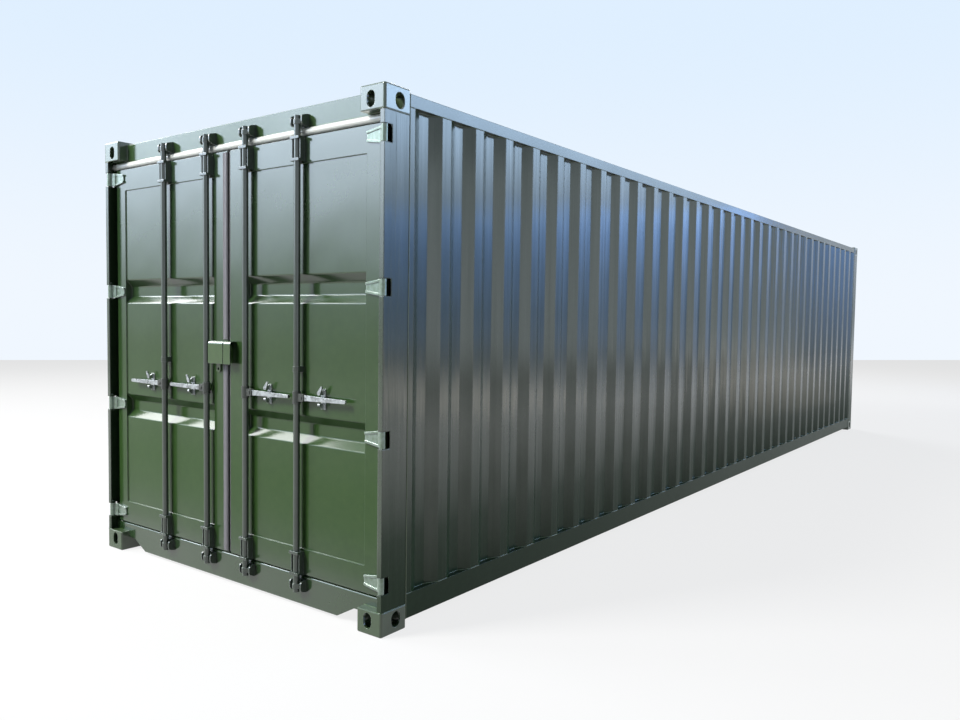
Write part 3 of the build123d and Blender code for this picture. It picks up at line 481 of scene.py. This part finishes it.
# %% Hinges, handles and bolts
BAR_PLACES = (0.176, 0.595)
FORK_REACH = 0.064
HINGE_PALE = (0.30, 0.38, 0.34)
ZINC = (0.50, 0.52, 0.52)
ZINC_DULL = (0.30, 0.32, 0.32)
FORGED = (0.060, 0.066, 0.058)
FORK_METAL = 0.3
SPANGLE_SCALE = 70.0
ZINC_SMOOTHEST = 0.26
ZINC_ROUGH_SPREAD = 0.16
RIM_RADIUS = 0.002
WEAR_SCALE = 55.0
# Near-white colour put on the hinge rims: a painted highlight.
HINGE_RIM_HIGHLIGHT = (0.62, 0.68, 0.64)
HINGE_HIGHLIGHT_SPREAD = 3.0
HINGE_METAL = 0.35


def spangled_zinc(tree, spot):
    """Colour and roughness of galvanised steel."""
    cells = add(tree, "ShaderNodeTexVoronoi", {"Vector": spot, "Scale": SPANGLE_SCALE})
    share = add(tree, "ShaderNodeSeparateColor", {0: cells.outputs["Color"]}).outputs[0]
    rough = maths(tree, "MULTIPLY_ADD", share, ZINC_ROUGH_SPREAD, ZINC_SMOOTHEST)
    return blend_colours(tree, share, ZINC_DULL, ZINC), rough


def near_bar(tree, spot):
    """1 within the reach of a fork from the axis of either locking bar, else 0."""
    across = maths(tree, "ABSOLUTE", add(tree, "ShaderNodeSeparateXYZ", {0: spot}).outputs["X"])
    off = [maths(tree, "ABSOLUTE", maths(tree, "SUBTRACT", across, place)) for place in BAR_PLACES]
    return maths(tree, "MAXIMUM", *[maths(tree, "LESS_THAN", distance, FORK_REACH) for distance in off])


def zinc_material(name, forked=False):
    """Galvanised steel; a handle is dark forged steel near its bar."""
    material, tree = new_material(name)
    spot = add(tree, "ShaderNodeTexCoord").outputs["Object"]
    colour, rough = spangled_zinc(tree, spot)
    rounded = add(tree, "ShaderNodeBevel", {"Radius": RIM_RADIUS}, samples=4).outputs[0]
    metal = 1.0
    if forked:
        fork = near_bar(tree, spot)
        colour = blend_colours(tree, fork, colour, FORGED)
        metal = maths(tree, "MULTIPLY_ADD", fork, FORK_METAL - 1.0, 1.0)
    shader = add(tree, "ShaderNodeBsdfPrincipled", {"Base Color": colour, "Metallic": metal,
                                                    "Roughness": rough, "Normal": rounded})
    add(tree, "ShaderNodeOutputMaterial", {"Surface": shader.outputs[0]})
    return material


def hinge_material():
    """Paint over bright steel, with a near-white painted highlight on its rims."""
    material, tree = new_material("hinge_steel")
    spot = add(tree, "ShaderNodeTexCoord").outputs["Object"]
    wear = noise_share(tree, spot, WEAR_SCALE, 5.0)
    rounded = add(tree, "ShaderNodeBevel", {"Radius": EDGE_RADIUS}, samples=4).outputs[0]
    green = blend_colours(tree, wear, GREEN_FULL, HINGE_PALE)
    # The rims get the near-white painted highlight.
    colour = blend_colours(tree, edge_highlight_share(tree, rounded, HINGE_HIGHLIGHT_SPREAD), green, HINGE_RIM_HIGHLIGHT)
    bump = add(tree, "ShaderNodeBump", {"Height": wear, "Strength": 0.3, "Distance": 0.001,
                                        "Normal": rounded})
    shader = add(tree, "ShaderNodeBsdfPrincipled", {
        "Base Color": colour, "Metallic": HINGE_METAL, "Roughness": 0.3, "Normal": bump.outputs[0],
        "Coat Weight": 0.8, "Coat Roughness": 0.1,
    })
    add(tree, "ShaderNodeOutputMaterial", {"Surface": shader.outputs[0]})
    return material


METALS = {
    "zinc": zinc_material("galvanised"),
    "handle": zinc_material("handle_steel", forked=True),
    "hinge": hinge_material(),
}
print("metal finishes:", ", ".join(METALS))

# %% [markdown]
# Black rubber, underseal and plywood are seen only with the doors open or from low down. Rubber and
# underseal are matt with a soft mottle, and the strips of the seam are of a paler grey rubber. The plywood
# of the floor has grain along the container, and its sheets meet in thin dark lines: a line is where the
# distance to the nearest multiple of the sheet's size is small.

# %% Rubber, underseal and plywood
SHEET_LONG = 2.4
SHEET_WIDE = 1.165
JOINT_HALF = 0.002
JOINT_TONE = (0.02, 0.012, 0.008)
GRAIN_SCALE = 3.0
GRAIN_STRETCH = (14.0, 0.8, 14.0)
GRAIN_TONES = [(0.25, (0.12, 0.06, 0.03)), (0.5, (0.30, 0.17, 0.09)), (0.75, (0.42, 0.27, 0.15))]


def dull(name, dark, light, scale, roughness):
    """Matt finish with a soft mottle."""
    material, tree = new_material(name)
    spot = add(tree, "ShaderNodeTexCoord").outputs["Object"]
    noise = noise_share(tree, spot, scale, 5.0)
    tone = blend_colours(tree, noise, dark, light)
    bump = add(tree, "ShaderNodeBump", {"Height": noise, "Strength": 0.4, "Distance": 0.001})
    shader = add(tree, "ShaderNodeBsdfPrincipled", {"Base Color": tone, "Roughness": roughness,
                                                    "Normal": bump.outputs[0]})
    add(tree, "ShaderNodeOutputMaterial", {"Surface": shader.outputs[0]})
    return material


def joint_line(tree, value, size):
    """1 on the thin line between two sheets, else 0."""
    off = maths(tree, "PINGPONG", value, size / 2)
    return maths(tree, "GREATER_THAN", off, size / 2 - JOINT_HALF)


def plywood():
    """Varnished plywood with grain along the container and joints between its sheets."""
    material, tree = new_material("floor_plywood")
    spot = add(tree, "ShaderNodeTexCoord").outputs["Object"]
    stretched = add(tree, "ShaderNodeMapping", {"Vector": spot, "Scale": GRAIN_STRETCH}).outputs[0]
    grain = add(tree, "ShaderNodeTexNoise",
                {"Vector": stretched, "Scale": GRAIN_SCALE, "Detail": 8.0, "Distortion": 1.2}).outputs["Fac"]
    tone = ramp(tree, grain, GRAIN_TONES)
    parts = add(tree, "ShaderNodeSeparateXYZ", {0: spot})
    joints = maths(tree, "MAXIMUM", joint_line(tree, parts.outputs["Y"], SHEET_LONG),
                   joint_line(tree, maths(tree, "ADD", parts.outputs["X"], SHEET_WIDE / 2), SHEET_WIDE))
    tone = blend_colours(tree, joints, tone, JOINT_TONE)
    bump = add(tree, "ShaderNodeBump", {"Height": grain, "Strength": 0.3, "Distance": 0.001})
    shader = add(tree, "ShaderNodeBsdfPrincipled", {"Base Color": tone, "Roughness": 0.45,
                                                    "Normal": bump.outputs[0]})
    add(tree, "ShaderNodeOutputMaterial", {"Surface": shader.outputs[0]})
    return material


OTHERS = {
    "rubber": dull("seal_rubber", (0.022, 0.022, 0.024), (0.055, 0.055, 0.060), 90, 0.6),
    "grey_rubber": dull("grey_rubber", (0.125, 0.12, 0.13), (0.18, 0.172, 0.186), 40, 0.40),
    "underside": dull("underseal", (0.012, 0.012, 0.012), (0.040, 0.038, 0.035), 25, 0.8),
    "plywood": plywood(),
}
FINISH = {**PAINTS, **METALS, **OTHERS}
print("other finishes:", ", ".join(OTHERS))

# %% [markdown]
# Each piece of the container gets its finish by its name. The first word that its name holds decides.

# %% Finishes on the pieces
FINISH_BY_WORD = [
    ("gasket", "rubber"), ("floor_deck", "plywood"), ("cross_members", "underside"), ("catches", "zinc"),
    ("handle", "handle"), ("hinges", "hinge"), ("casting", "casting"), ("header", "header"),
    ("guides", "fitting"), ("_bar", "fitting"), ("keepers", "fitting"), ("lock_box", "lock_box"),
    ("door_frame", "door"), ("door_panel", "door"), ("sill", "door"), ("wall", "side"), ("post", "side"),
    ("rail", "frame"), ("roof", "roof"),
]


def finish_of(node):
    """Which finish a piece of the container gets."""
    return next(finish for word, finish in FINISH_BY_WORD if word in node)


for node, piece in NODES.items():
    piece.data.materials.clear()
    piece.data.materials.append(FINISH[finish_of(node)])
print("finished", len(NODES), "pieces")

# %% [markdown]
# What repeats is grown by Geometry Nodes. A tree reads a simple guide, here loose edges or points, and
# turns it into the finished shape. Its sizes are named inputs, so one tree serves many pieces. The helper
# below runs a tree on a guide, keeps the result as a plain mesh and gives it to a body of the container.


# %% Growing a piece from a guide
def named_input(tree, name, kind, value=None):
    """Named input of a Geometry Nodes tree."""
    socket = tree.interface.new_socket(name=name, in_out="INPUT", socket_type="NodeSocket" + kind)
    if value is not None:
        socket.default_value = value


def new_tree(name, inputs):
    """Empty tree with a geometry input, named inputs and its group input and output nodes."""
    tree = bpy.data.node_groups.new(name, "GeometryNodeTree")
    named_input(tree, "Guide", "Geometry")
    for label, kind, value in inputs:
        named_input(tree, label, kind, value)
    named_input(tree, "Finish", "Material")
    tree.interface.new_socket(name="Piece", in_out="OUTPUT", socket_type="NodeSocketGeometry")
    return tree, add(tree, "NodeGroupInput").outputs


def close_tree(tree, shape, source):
    """Ends a tree with Realize Instances and Set Material."""
    real = add(tree, "GeometryNodeRealizeInstances", {"Geometry": shape}).outputs[0]
    painted = add(tree, "GeometryNodeSetMaterial", {"Geometry": real, "Material": source["Finish"]})
    add(tree, "NodeGroupOutput", {"Piece": painted.outputs[0]})


def grown(name, body, tree, guide, settings):
    """Plain piece grown from a guide mesh by a tree, riding on a body."""
    holder = bpy.data.objects.new(name + "_guide", guide)
    bpy.context.collection.objects.link(holder)
    modifier = holder.modifiers.new("grow", "NODES")
    modifier.node_group = tree
    for item in tree.interface.items_tree:
        if item.in_out == "INPUT" and item.name in settings:
            modifier[item.identifier] = settings[item.name]
    seen = holder.evaluated_get(bpy.context.evaluated_depsgraph_get())
    mesh = bpy.data.meshes.new_from_object(seen)
    holder.modifiers.remove(modifier)
    bpy.data.objects.remove(holder)
    shape = bmesh.new()
    shape.from_mesh(mesh)
    bmesh.ops.recalc_face_normals(shape, faces=shape.faces)
    shape.to_mesh(mesh)
    shape.free()
    piece = bpy.data.objects.new(name, mesh)
    bpy.context.collection.objects.link(piece)
    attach(piece, body)
    print(name, "on", body, len(mesh.polygons), "faces")
    return piece


# %% [markdown]
# A weld bead is a thin ridge with a ripple for each small step of the torch. The guide is a line of short
# edges. The tree turns it into a curve, sweeps a six-sided ring along it, and lets a noise swell and
# shrink the ring, which gives the ripple.

# %% Tree for weld beads
STEP = 0.012
RIPPLE_SCALE = 55.0


def bead_tree():
    """Tree that sweeps a rippled ring along a guide of loose edges."""
    tree, source = new_tree("weld_bead", [("Bead radius", "Float", 0.003), ("Ripple", "Float", 0.35),
                                          ("Sides", "Int", 6)])
    curve = add(tree, "GeometryNodeMeshToCurve", {"Mesh": source["Guide"]}).outputs[0]
    noise = add(tree, "ShaderNodeTexNoise", {"Scale": RIPPLE_SCALE, "Detail": 1.0}).outputs["Fac"]
    swell = maths(tree, "MULTIPLY_ADD", maths(tree, "SUBTRACT", noise, 0.5), source["Ripple"], 1.0)
    radius = maths(tree, "MULTIPLY", swell, source["Bead radius"])
    ring = add(tree, "GeometryNodeCurvePrimitiveCircle", {"Resolution": source["Sides"], "Radius": 1.0})
    swept = add(tree, "GeometryNodeCurveToMesh", {"Curve": curve, "Profile Curve": ring.outputs[0],
                                                  "Scale": radius, "Fill Caps": True}).outputs[0]
    smooth = add(tree, "GeometryNodeSetShadeSmooth", {"Geometry": swept}).outputs[0]
    close_tree(tree, smooth, source)
    return tree


def guide_lines(name, paths, step=STEP):
    """Mesh of loose edges along paths, each divided into short steps."""
    points, edges = [], []
    for path in paths:
        corners = [Vector(corner) for corner in path]
        points.append(corners[0])
        for start, end in zip(corners, corners[1:]):
            count = max(1, round((end - start).length / step))
            for share in range(1, count + 1):
                points.append(start.lerp(end, share / count))
                edges.append((len(points) - 2, len(points) - 1))
    mesh = bpy.data.meshes.new(name)
    mesh.from_pydata(points, edges, [])
    return mesh


BEAD_TREE = bead_tree()
print(BEAD_TREE.name, "has", len(BEAD_TREE.nodes), "nodes")

# %% [markdown]
# Beads join posts, rails, header and sill to the corner castings. Each is written once, for the right
# side of the door end, and mirrored to the left. The ends share those of the rails and posts.

# %% Weld beads of the frame
POST_FACE = DOOR_END + 0.004
POST_SIDE = 1.215
POST_INNER = 1.171
CASTING_BACK = DOOR_END + 0.178
CASTING_INNER = 1.057
CASTING_TOP = 0.118
CASTING_FOOT = HIGH.z - CASTING_TOP
BOTTOM_RAIL = (0.045, 0.167)
TOP_RAIL_FOOT = 2.513
ROOF_LEVEL = 2.573
ROOF_EDGE = 1.155
HEADER_FACE = DOOR_END + 0.060
SILL_FACE = DOOR_END + 0.050
SILL_SEAM_FOOT = 0.090


def at_both_sides(paths):
    """The paths, and the same mirrored to the left side."""
    return paths + [[(-x, y, z) for x, y, z in path] for path in paths]


def at_both_ends(paths):
    """The paths, and the same mirrored to the blind end."""
    return paths + [[(x, -y, z) for x, y, z in path] for path in paths]


def frame_seams():
    """Paths of the beads between posts, rails, header, sill and castings."""
    post_ends = [[(POST_INNER, POST_FACE, z), (POST_SIDE, POST_FACE, z), (POST_SIDE, CASTING_BACK, z)]
                 for z in (CASTING_TOP, CASTING_FOOT)]
    rail_ends = [
        [(ROOF_EDGE, CASTING_BACK, ROOF_LEVEL), (POST_SIDE, CASTING_BACK, ROOF_LEVEL),
         (POST_SIDE, CASTING_BACK, TOP_RAIL_FOOT)],
        [(POST_SIDE, CASTING_BACK, z) for z in BOTTOM_RAIL],
    ]
    post_back = [[(POST_SIDE, CASTING_BACK, z) for z in (BOTTOM_RAIL[1], TOP_RAIL_FOOT)]]
    beams = [
        [(CASTING_INNER, HEADER_FACE, ROOF_LEVEL), (CASTING_INNER, HEADER_FACE, CASTING_FOOT),
         (POST_INNER, HEADER_FACE, CASTING_FOOT)],
        [(CASTING_INNER, SILL_FACE, SILL_SEAM_FOOT), (CASTING_INNER, SILL_FACE, CASTING_TOP),
         (POST_INNER, SILL_FACE, CASTING_TOP)],
    ]
    return at_both_sides(at_both_ends(post_ends + rail_ends + post_back) + beams)


grown("frame_welds", "container", BEAD_TREE, guide_lines("frame_seams", frame_seams()),
      {"Bead radius": 0.0032, "Finish": FINISH["bead"]})

# %% [markdown]
# The wall sheets are welded to both rails all along, so those beads follow the ribs: out on a crest, down
# a slope, along a recess and back. The rule of the ribs is the same as that of the sheet.

# %% Weld beads along the walls
RIB_COUNT = 34
RIB_SLOPE = 0.068
RIB_FLOOR = 0.070
RIB_DEPTH = 0.036
RIB_MARGIN = 0.036
SEAM_LEVELS = (0.168, 2.512)
WALL_STEP = 0.02


def wall_line(z):
    """Line along the outer face of the right wall, at one height."""
    start, end = CASTING_BACK + RIB_MARGIN, -CASTING_BACK - RIB_MARGIN
    width = 2 * RIB_SLOPE + RIB_FLOOR
    pitch = (end - start - width) / (RIB_COUNT - 1)
    line = [(POST_SIDE, CASTING_BACK, z)]
    for rib in range(RIB_COUNT):
        place = start + rib * pitch
        for off, depth in ((0, 0), (RIB_SLOPE, RIB_DEPTH), (RIB_SLOPE + RIB_FLOOR, RIB_DEPTH), (width, 0)):
            line.append((POST_SIDE - depth, place + off, z))
    return line + [(POST_SIDE, -CASTING_BACK, z)]


wall_lines = at_both_sides([wall_line(z) for z in SEAM_LEVELS])
grown("wall_welds", "container", BEAD_TREE, guide_lines("wall_seams", wall_lines, WALL_STEP),
      {"Bead radius": 0.0028, "Ripple": 0.5, "Finish": FINISH["bead"]})

# %% [markdown]
# Each door plate sits in its frame with a bead all round. Along the stiles that bead dips into the two
# pressed bands, so the upright lines follow the profile of the plate.

# %% Weld beads of the door plates
WINDOW_X = (0.135, 1.062)
WINDOW_Z = (0.311, 2.289)
PLATE_FACE = DOOR_END + 0.052
BAND_BACK = DOOR_END + 0.088
BANDS = (0.858, 1.581)
BAND_SLOPE = 0.043
BAND_FLOOR = 0.062


def plate_seam(x):
    """Upright line along the edge of the plate, into both bands and out."""
    line = [(x, PLATE_FACE, WINDOW_Z[0])]
    for foot in BANDS:
        middle = foot + BAND_SLOPE
        line += [(x, PLATE_FACE, foot), (x, BAND_BACK, middle), (x, BAND_BACK, middle + BAND_FLOOR),
                 (x, PLATE_FACE, middle + BAND_FLOOR + BAND_SLOPE)]
    return line + [(x, PLATE_FACE, WINDOW_Z[1])]


for side, sign in (("left", -1), ("right", 1)):
    level = [[(sign * x, PLATE_FACE, z) for x in WINDOW_X] for z in WINDOW_Z]
    upright = [plate_seam(sign * x) for x in WINDOW_X]
    grown(side + "_plate_welds", side + "_door", BEAD_TREE,
          guide_lines(side + "_plate_seams", level + upright),
          {"Bead radius": 0.0026, "Finish": FINISH["bead"]})

# %% [markdown]
# Bolts, rivets and screws are all a low round or six-sided head on a washer. The guide is a cloud of
# points, each with the direction its head faces. The tree puts a head on each point, turned by a random
# amount with a fixed seed, because no two bolts stop at the same turn.


# %% Tree for bolts, rivets and screws
CROWN_SHARE = 0.8
WASHER_SIDES = 12
OUTWARDS = (0, -1, 0)
UPWARDS = (0, 0, 1)


def head_tree():
    """Tree that puts a head on a washer at each guide point, facing the way the point says."""
    tree, source = new_tree("fastener_heads", [
        ("Head radius", "Float", 0.006), ("Head height", "Float", 0.004), ("Head sides", "Int", 6),
        ("Washer radius", "Float", 0.009), ("Washer height", "Float", 0.0012), ("Seed", "Int", 3)])
    half_washer = maths(tree, "MULTIPLY", source["Washer height"], 0.5)
    washer_middle = add(tree, "ShaderNodeCombineXYZ", {"Z": half_washer})
    crown = maths(tree, "MULTIPLY", source["Head radius"], CROWN_SHARE)
    head = add(tree, "GeometryNodeMeshCone", {
        "Vertices": source["Head sides"], "Radius Bottom": source["Head radius"], "Radius Top": crown,
        "Depth": source["Head height"]}).outputs[0]
    head_foot = add(tree, "ShaderNodeCombineXYZ", {"Z": source["Washer height"]})
    washer = add(tree, "GeometryNodeMeshCylinder", {
        "Vertices": WASHER_SIDES, "Radius": source["Washer radius"],
        "Depth": source["Washer height"]}).outputs[0]
    raised = add(tree, "GeometryNodeTransform", {"Geometry": head, "Translation": head_foot.outputs[0]})
    laid = add(tree, "GeometryNodeTransform", {"Geometry": washer, "Translation": washer_middle.outputs[0]})
    both = add(tree, "GeometryNodeJoinGeometry")
    tree.links.new(raised.outputs[0], both.inputs[0])
    tree.links.new(laid.outputs[0], both.inputs[0])
    aim = add(tree, "GeometryNodeInputNamedAttribute", {"Name": "aim"}, data_type="FLOAT_VECTOR").outputs[0]
    facing = add(tree, "FunctionNodeAlignRotationToVector", {"Vector": aim}, axis="Z").outputs[0]
    chance = add(tree, "FunctionNodeRandomValue", {"Seed": source["Seed"]}, data_type="FLOAT")
    turn = add(tree, "ShaderNodeCombineXYZ", {"Z": maths(tree, "MULTIPLY", chance.outputs[1], math.tau)})
    spun = add(tree, "FunctionNodeRotateRotation", {"Rotation": facing, "Rotate By": turn.outputs[0]},
               rotation_space="LOCAL").outputs[0]
    points = add(tree, "GeometryNodeMeshToPoints", {"Mesh": source["Guide"]}).outputs[0]
    placed = add(tree, "GeometryNodeInstanceOnPoints", {"Points": points, "Instance": both.outputs[0],
                                                        "Rotation": spun}).outputs[0]
    close_tree(tree, placed, source)
    return tree


def guide_points(name, spots, aim):
    """Mesh of loose points that all face one way."""
    mesh = bpy.data.meshes.new(name)
    mesh.from_pydata(spots, [], [])
    facing = mesh.attributes.new("aim", "FLOAT_VECTOR", "POINT")
    facing.data.foreach_set("vector", list(aim) * len(spots))
    return mesh


HEAD_TREE = head_tree()
print(HEAD_TREE.name, "has", len(HEAD_TREE.nodes), "nodes")

# %% [markdown]
# The long bearings of the locking bars are bolted to the door frame at their four corners. Each catch
# for a handle is riveted on.

# %% Bolts and rivets on the doors
GUIDE_FACE = DOOR_END + 0.041
GUIDE_SPREAD = 0.0265
GUIDE_MIDDLES = (0.240, 2.358)
GUIDE_BOLT_RISE = 0.050
CATCH_SPOTS = (0.346, 0.765)
CATCH_FACE = DOOR_END + 0.047
CATCH_SPREAD = 0.010
CATCH_RIVET_Z = (1.056, 1.144)


def guide_bolts(sign):
    """Places of the bolts in the long bearings of one door."""
    return [(sign * bar + across, GUIDE_FACE, middle + rise) for bar in BAR_PLACES
            for across in (-GUIDE_SPREAD, GUIDE_SPREAD) for middle in GUIDE_MIDDLES
            for rise in (-GUIDE_BOLT_RISE, GUIDE_BOLT_RISE)]


def catch_rivets(sign):
    """Places of the rivets in the two handle catches of one door."""
    return [(sign * catch + across, CATCH_FACE, z) for catch in CATCH_SPOTS
            for across in (-CATCH_SPREAD, CATCH_SPREAD) for z in CATCH_RIVET_Z]


for side, sign in (("left", -1), ("right", 1)):
    grown(side + "_guide_bolts", side + "_door", HEAD_TREE,
          guide_points(side + "_bolt_spots", guide_bolts(sign), OUTWARDS),
          {"Head radius": 0.0048, "Washer radius": 0.0062, "Finish": FINISH["zinc"]})
    grown(side + "_catch_rivets", side + "_door", HEAD_TREE,
          guide_points(side + "_rivet_spots", catch_rivets(sign), OUTWARDS),
          {"Head radius": 0.0035, "Head height": 0.0025, "Head sides": 10, "Washer radius": 0.004,
           "Finish": FINISH["zinc"]})

# %% [markdown]
# A hinge pin ends in a flat head above its upper lug. The floor is held down by flush screws, in rows
# over each cross member, and those rows repeat along the whole length.

# %% Pin heads and floor screws
PIN_PLACE = (1.199, DOOR_END + 0.020)
HINGE_HEIGHTS = (0.245, 0.940, 1.655, 2.364)
PIN_RISE = 0.053
MEMBER_FIRST = -4.5
MEMBER_PITCH = 0.3
MEMBER_COUNT = 31
SCREW_ROWS = (-1.10, -0.75, -0.40, -0.10, 0.10, 0.40, 0.75, 1.10)
FLOOR_LEVEL = 0.170

pin_spots = [(sign * PIN_PLACE[0], PIN_PLACE[1], height + PIN_RISE) for sign in (-1, 1)
             for height in HINGE_HEIGHTS]
grown("hinge_pin_heads", "container", HEAD_TREE, guide_points("pin_spots", pin_spots, UPWARDS),
      {"Head radius": 0.0095, "Head height": 0.003, "Head sides": 14, "Washer radius": 0.0105,
       "Washer height": 0.001, "Finish": FINISH["hinge"]})
screw_spots = [(x, MEMBER_FIRST + member * MEMBER_PITCH, FLOOR_LEVEL) for member in range(MEMBER_COUNT)
               for x in SCREW_ROWS]
grown("floor_screws", "container", HEAD_TREE,
      guide_points("screw_spots", screw_spots, UPWARDS),
      {"Head radius": 0.005, "Head height": 0.0006, "Head sides": 8, "Washer radius": 0.0075,
       "Washer height": 0.0004, "Finish": FINISH["zinc"]})

# %% [markdown]
# A rubber lip runs round the edge of each door and closes the seam against rain. Its guide is a rectangle
# round the door, just behind its face. The tree sweeps a flat profile along it: the width of the profile
# lies along Y on such a ring, and along X on an upright line. The lip stands two millimetres proud of the
# edge, so it stays clear of the frame when the door turns.


# %% Rubber lips round the doors
def lip_tree():
    """Tree that sweeps a flat profile along a guide."""
    tree, source = new_tree("rubber_lip", [("Profile width", "Float", 0.014),
                                           ("Profile height", "Float", 0.006)])
    curve = add(tree, "GeometryNodeMeshToCurve", {"Mesh": source["Guide"]}).outputs[0]
    profile = add(tree, "GeometryNodeCurvePrimitiveQuadrilateral", {
        "Width": source["Profile width"], "Height": source["Profile height"]})
    swept = add(tree, "GeometryNodeCurveToMesh", {"Curve": curve, "Profile Curve": profile.outputs[0],
                                                  "Fill Caps": True}).outputs[0]
    close_tree(tree, swept, source)
    return tree


LEAF_X = (0.009, 1.160)
LEAF_Z = (0.178, 2.420)
LIP_PLACE = DOOR_END + 0.060
LIP_TREE = lip_tree()


def ring_mesh(name, corners):
    """Closed loop of edges through the corners."""
    mesh = bpy.data.meshes.new(name)
    count = len(corners)
    mesh.from_pydata(corners, [(place, (place + 1) % count) for place in range(count)], [])
    return mesh


for side, sign in (("left", -1), ("right", 1)):
    near, far = (sign * x for x in LEAF_X)
    low, top = LEAF_Z
    loop = [(near, LIP_PLACE, low), (far, LIP_PLACE, low), (far, LIP_PLACE, top), (near, LIP_PLACE, top)]
    grown(side + "_door_lip", side + "_door", LIP_TREE, ring_mesh(side + "_lip_line", loop),
          {"Profile width": 0.014, "Profile height": 0.0056, "Finish": FINISH["rubber"]})

# %% [markdown]
# Down the seam between the doors runs a flat strip of grey rubber, held on the left door, and a narrower
# one in the edge of the right door. The first is parted at the lock box, whose end plates stand on the door
# there. The same tree makes both, with a flat profile along upright lines.

# %% Seam strips
STRIP_MIDDLE = -0.025
STRIP_WIDE = 0.042
STRIP_PLACE = DOOR_END + 0.0435
STRIP_RUNS = ((0.186, 1.236), (1.380, 2.412))
EDGE_STRIP = (0.0075, DOOR_END + 0.053)
EDGE_RUN = (0.186, 2.412)
WHOLE_RUN = 4.0

wide_lines = [[(STRIP_MIDDLE, STRIP_PLACE, z) for z in run] for run in STRIP_RUNS]
grown("left_seam_strip", "left_door", LIP_TREE,
      guide_lines("wide_strip_lines", wide_lines, WHOLE_RUN),
      {"Profile width": STRIP_WIDE, "Profile height": 0.005, "Finish": FINISH["grey_rubber"]})
edge_line = [(*EDGE_STRIP, z) for z in EDGE_RUN]
grown("right_seam_strip", "right_door", LIP_TREE,
      guide_lines("edge_strip_line", [edge_line], WHOLE_RUN),
      {"Profile width": 0.006, "Profile height": 0.009, "Finish": FINISH["grey_rubber"]})
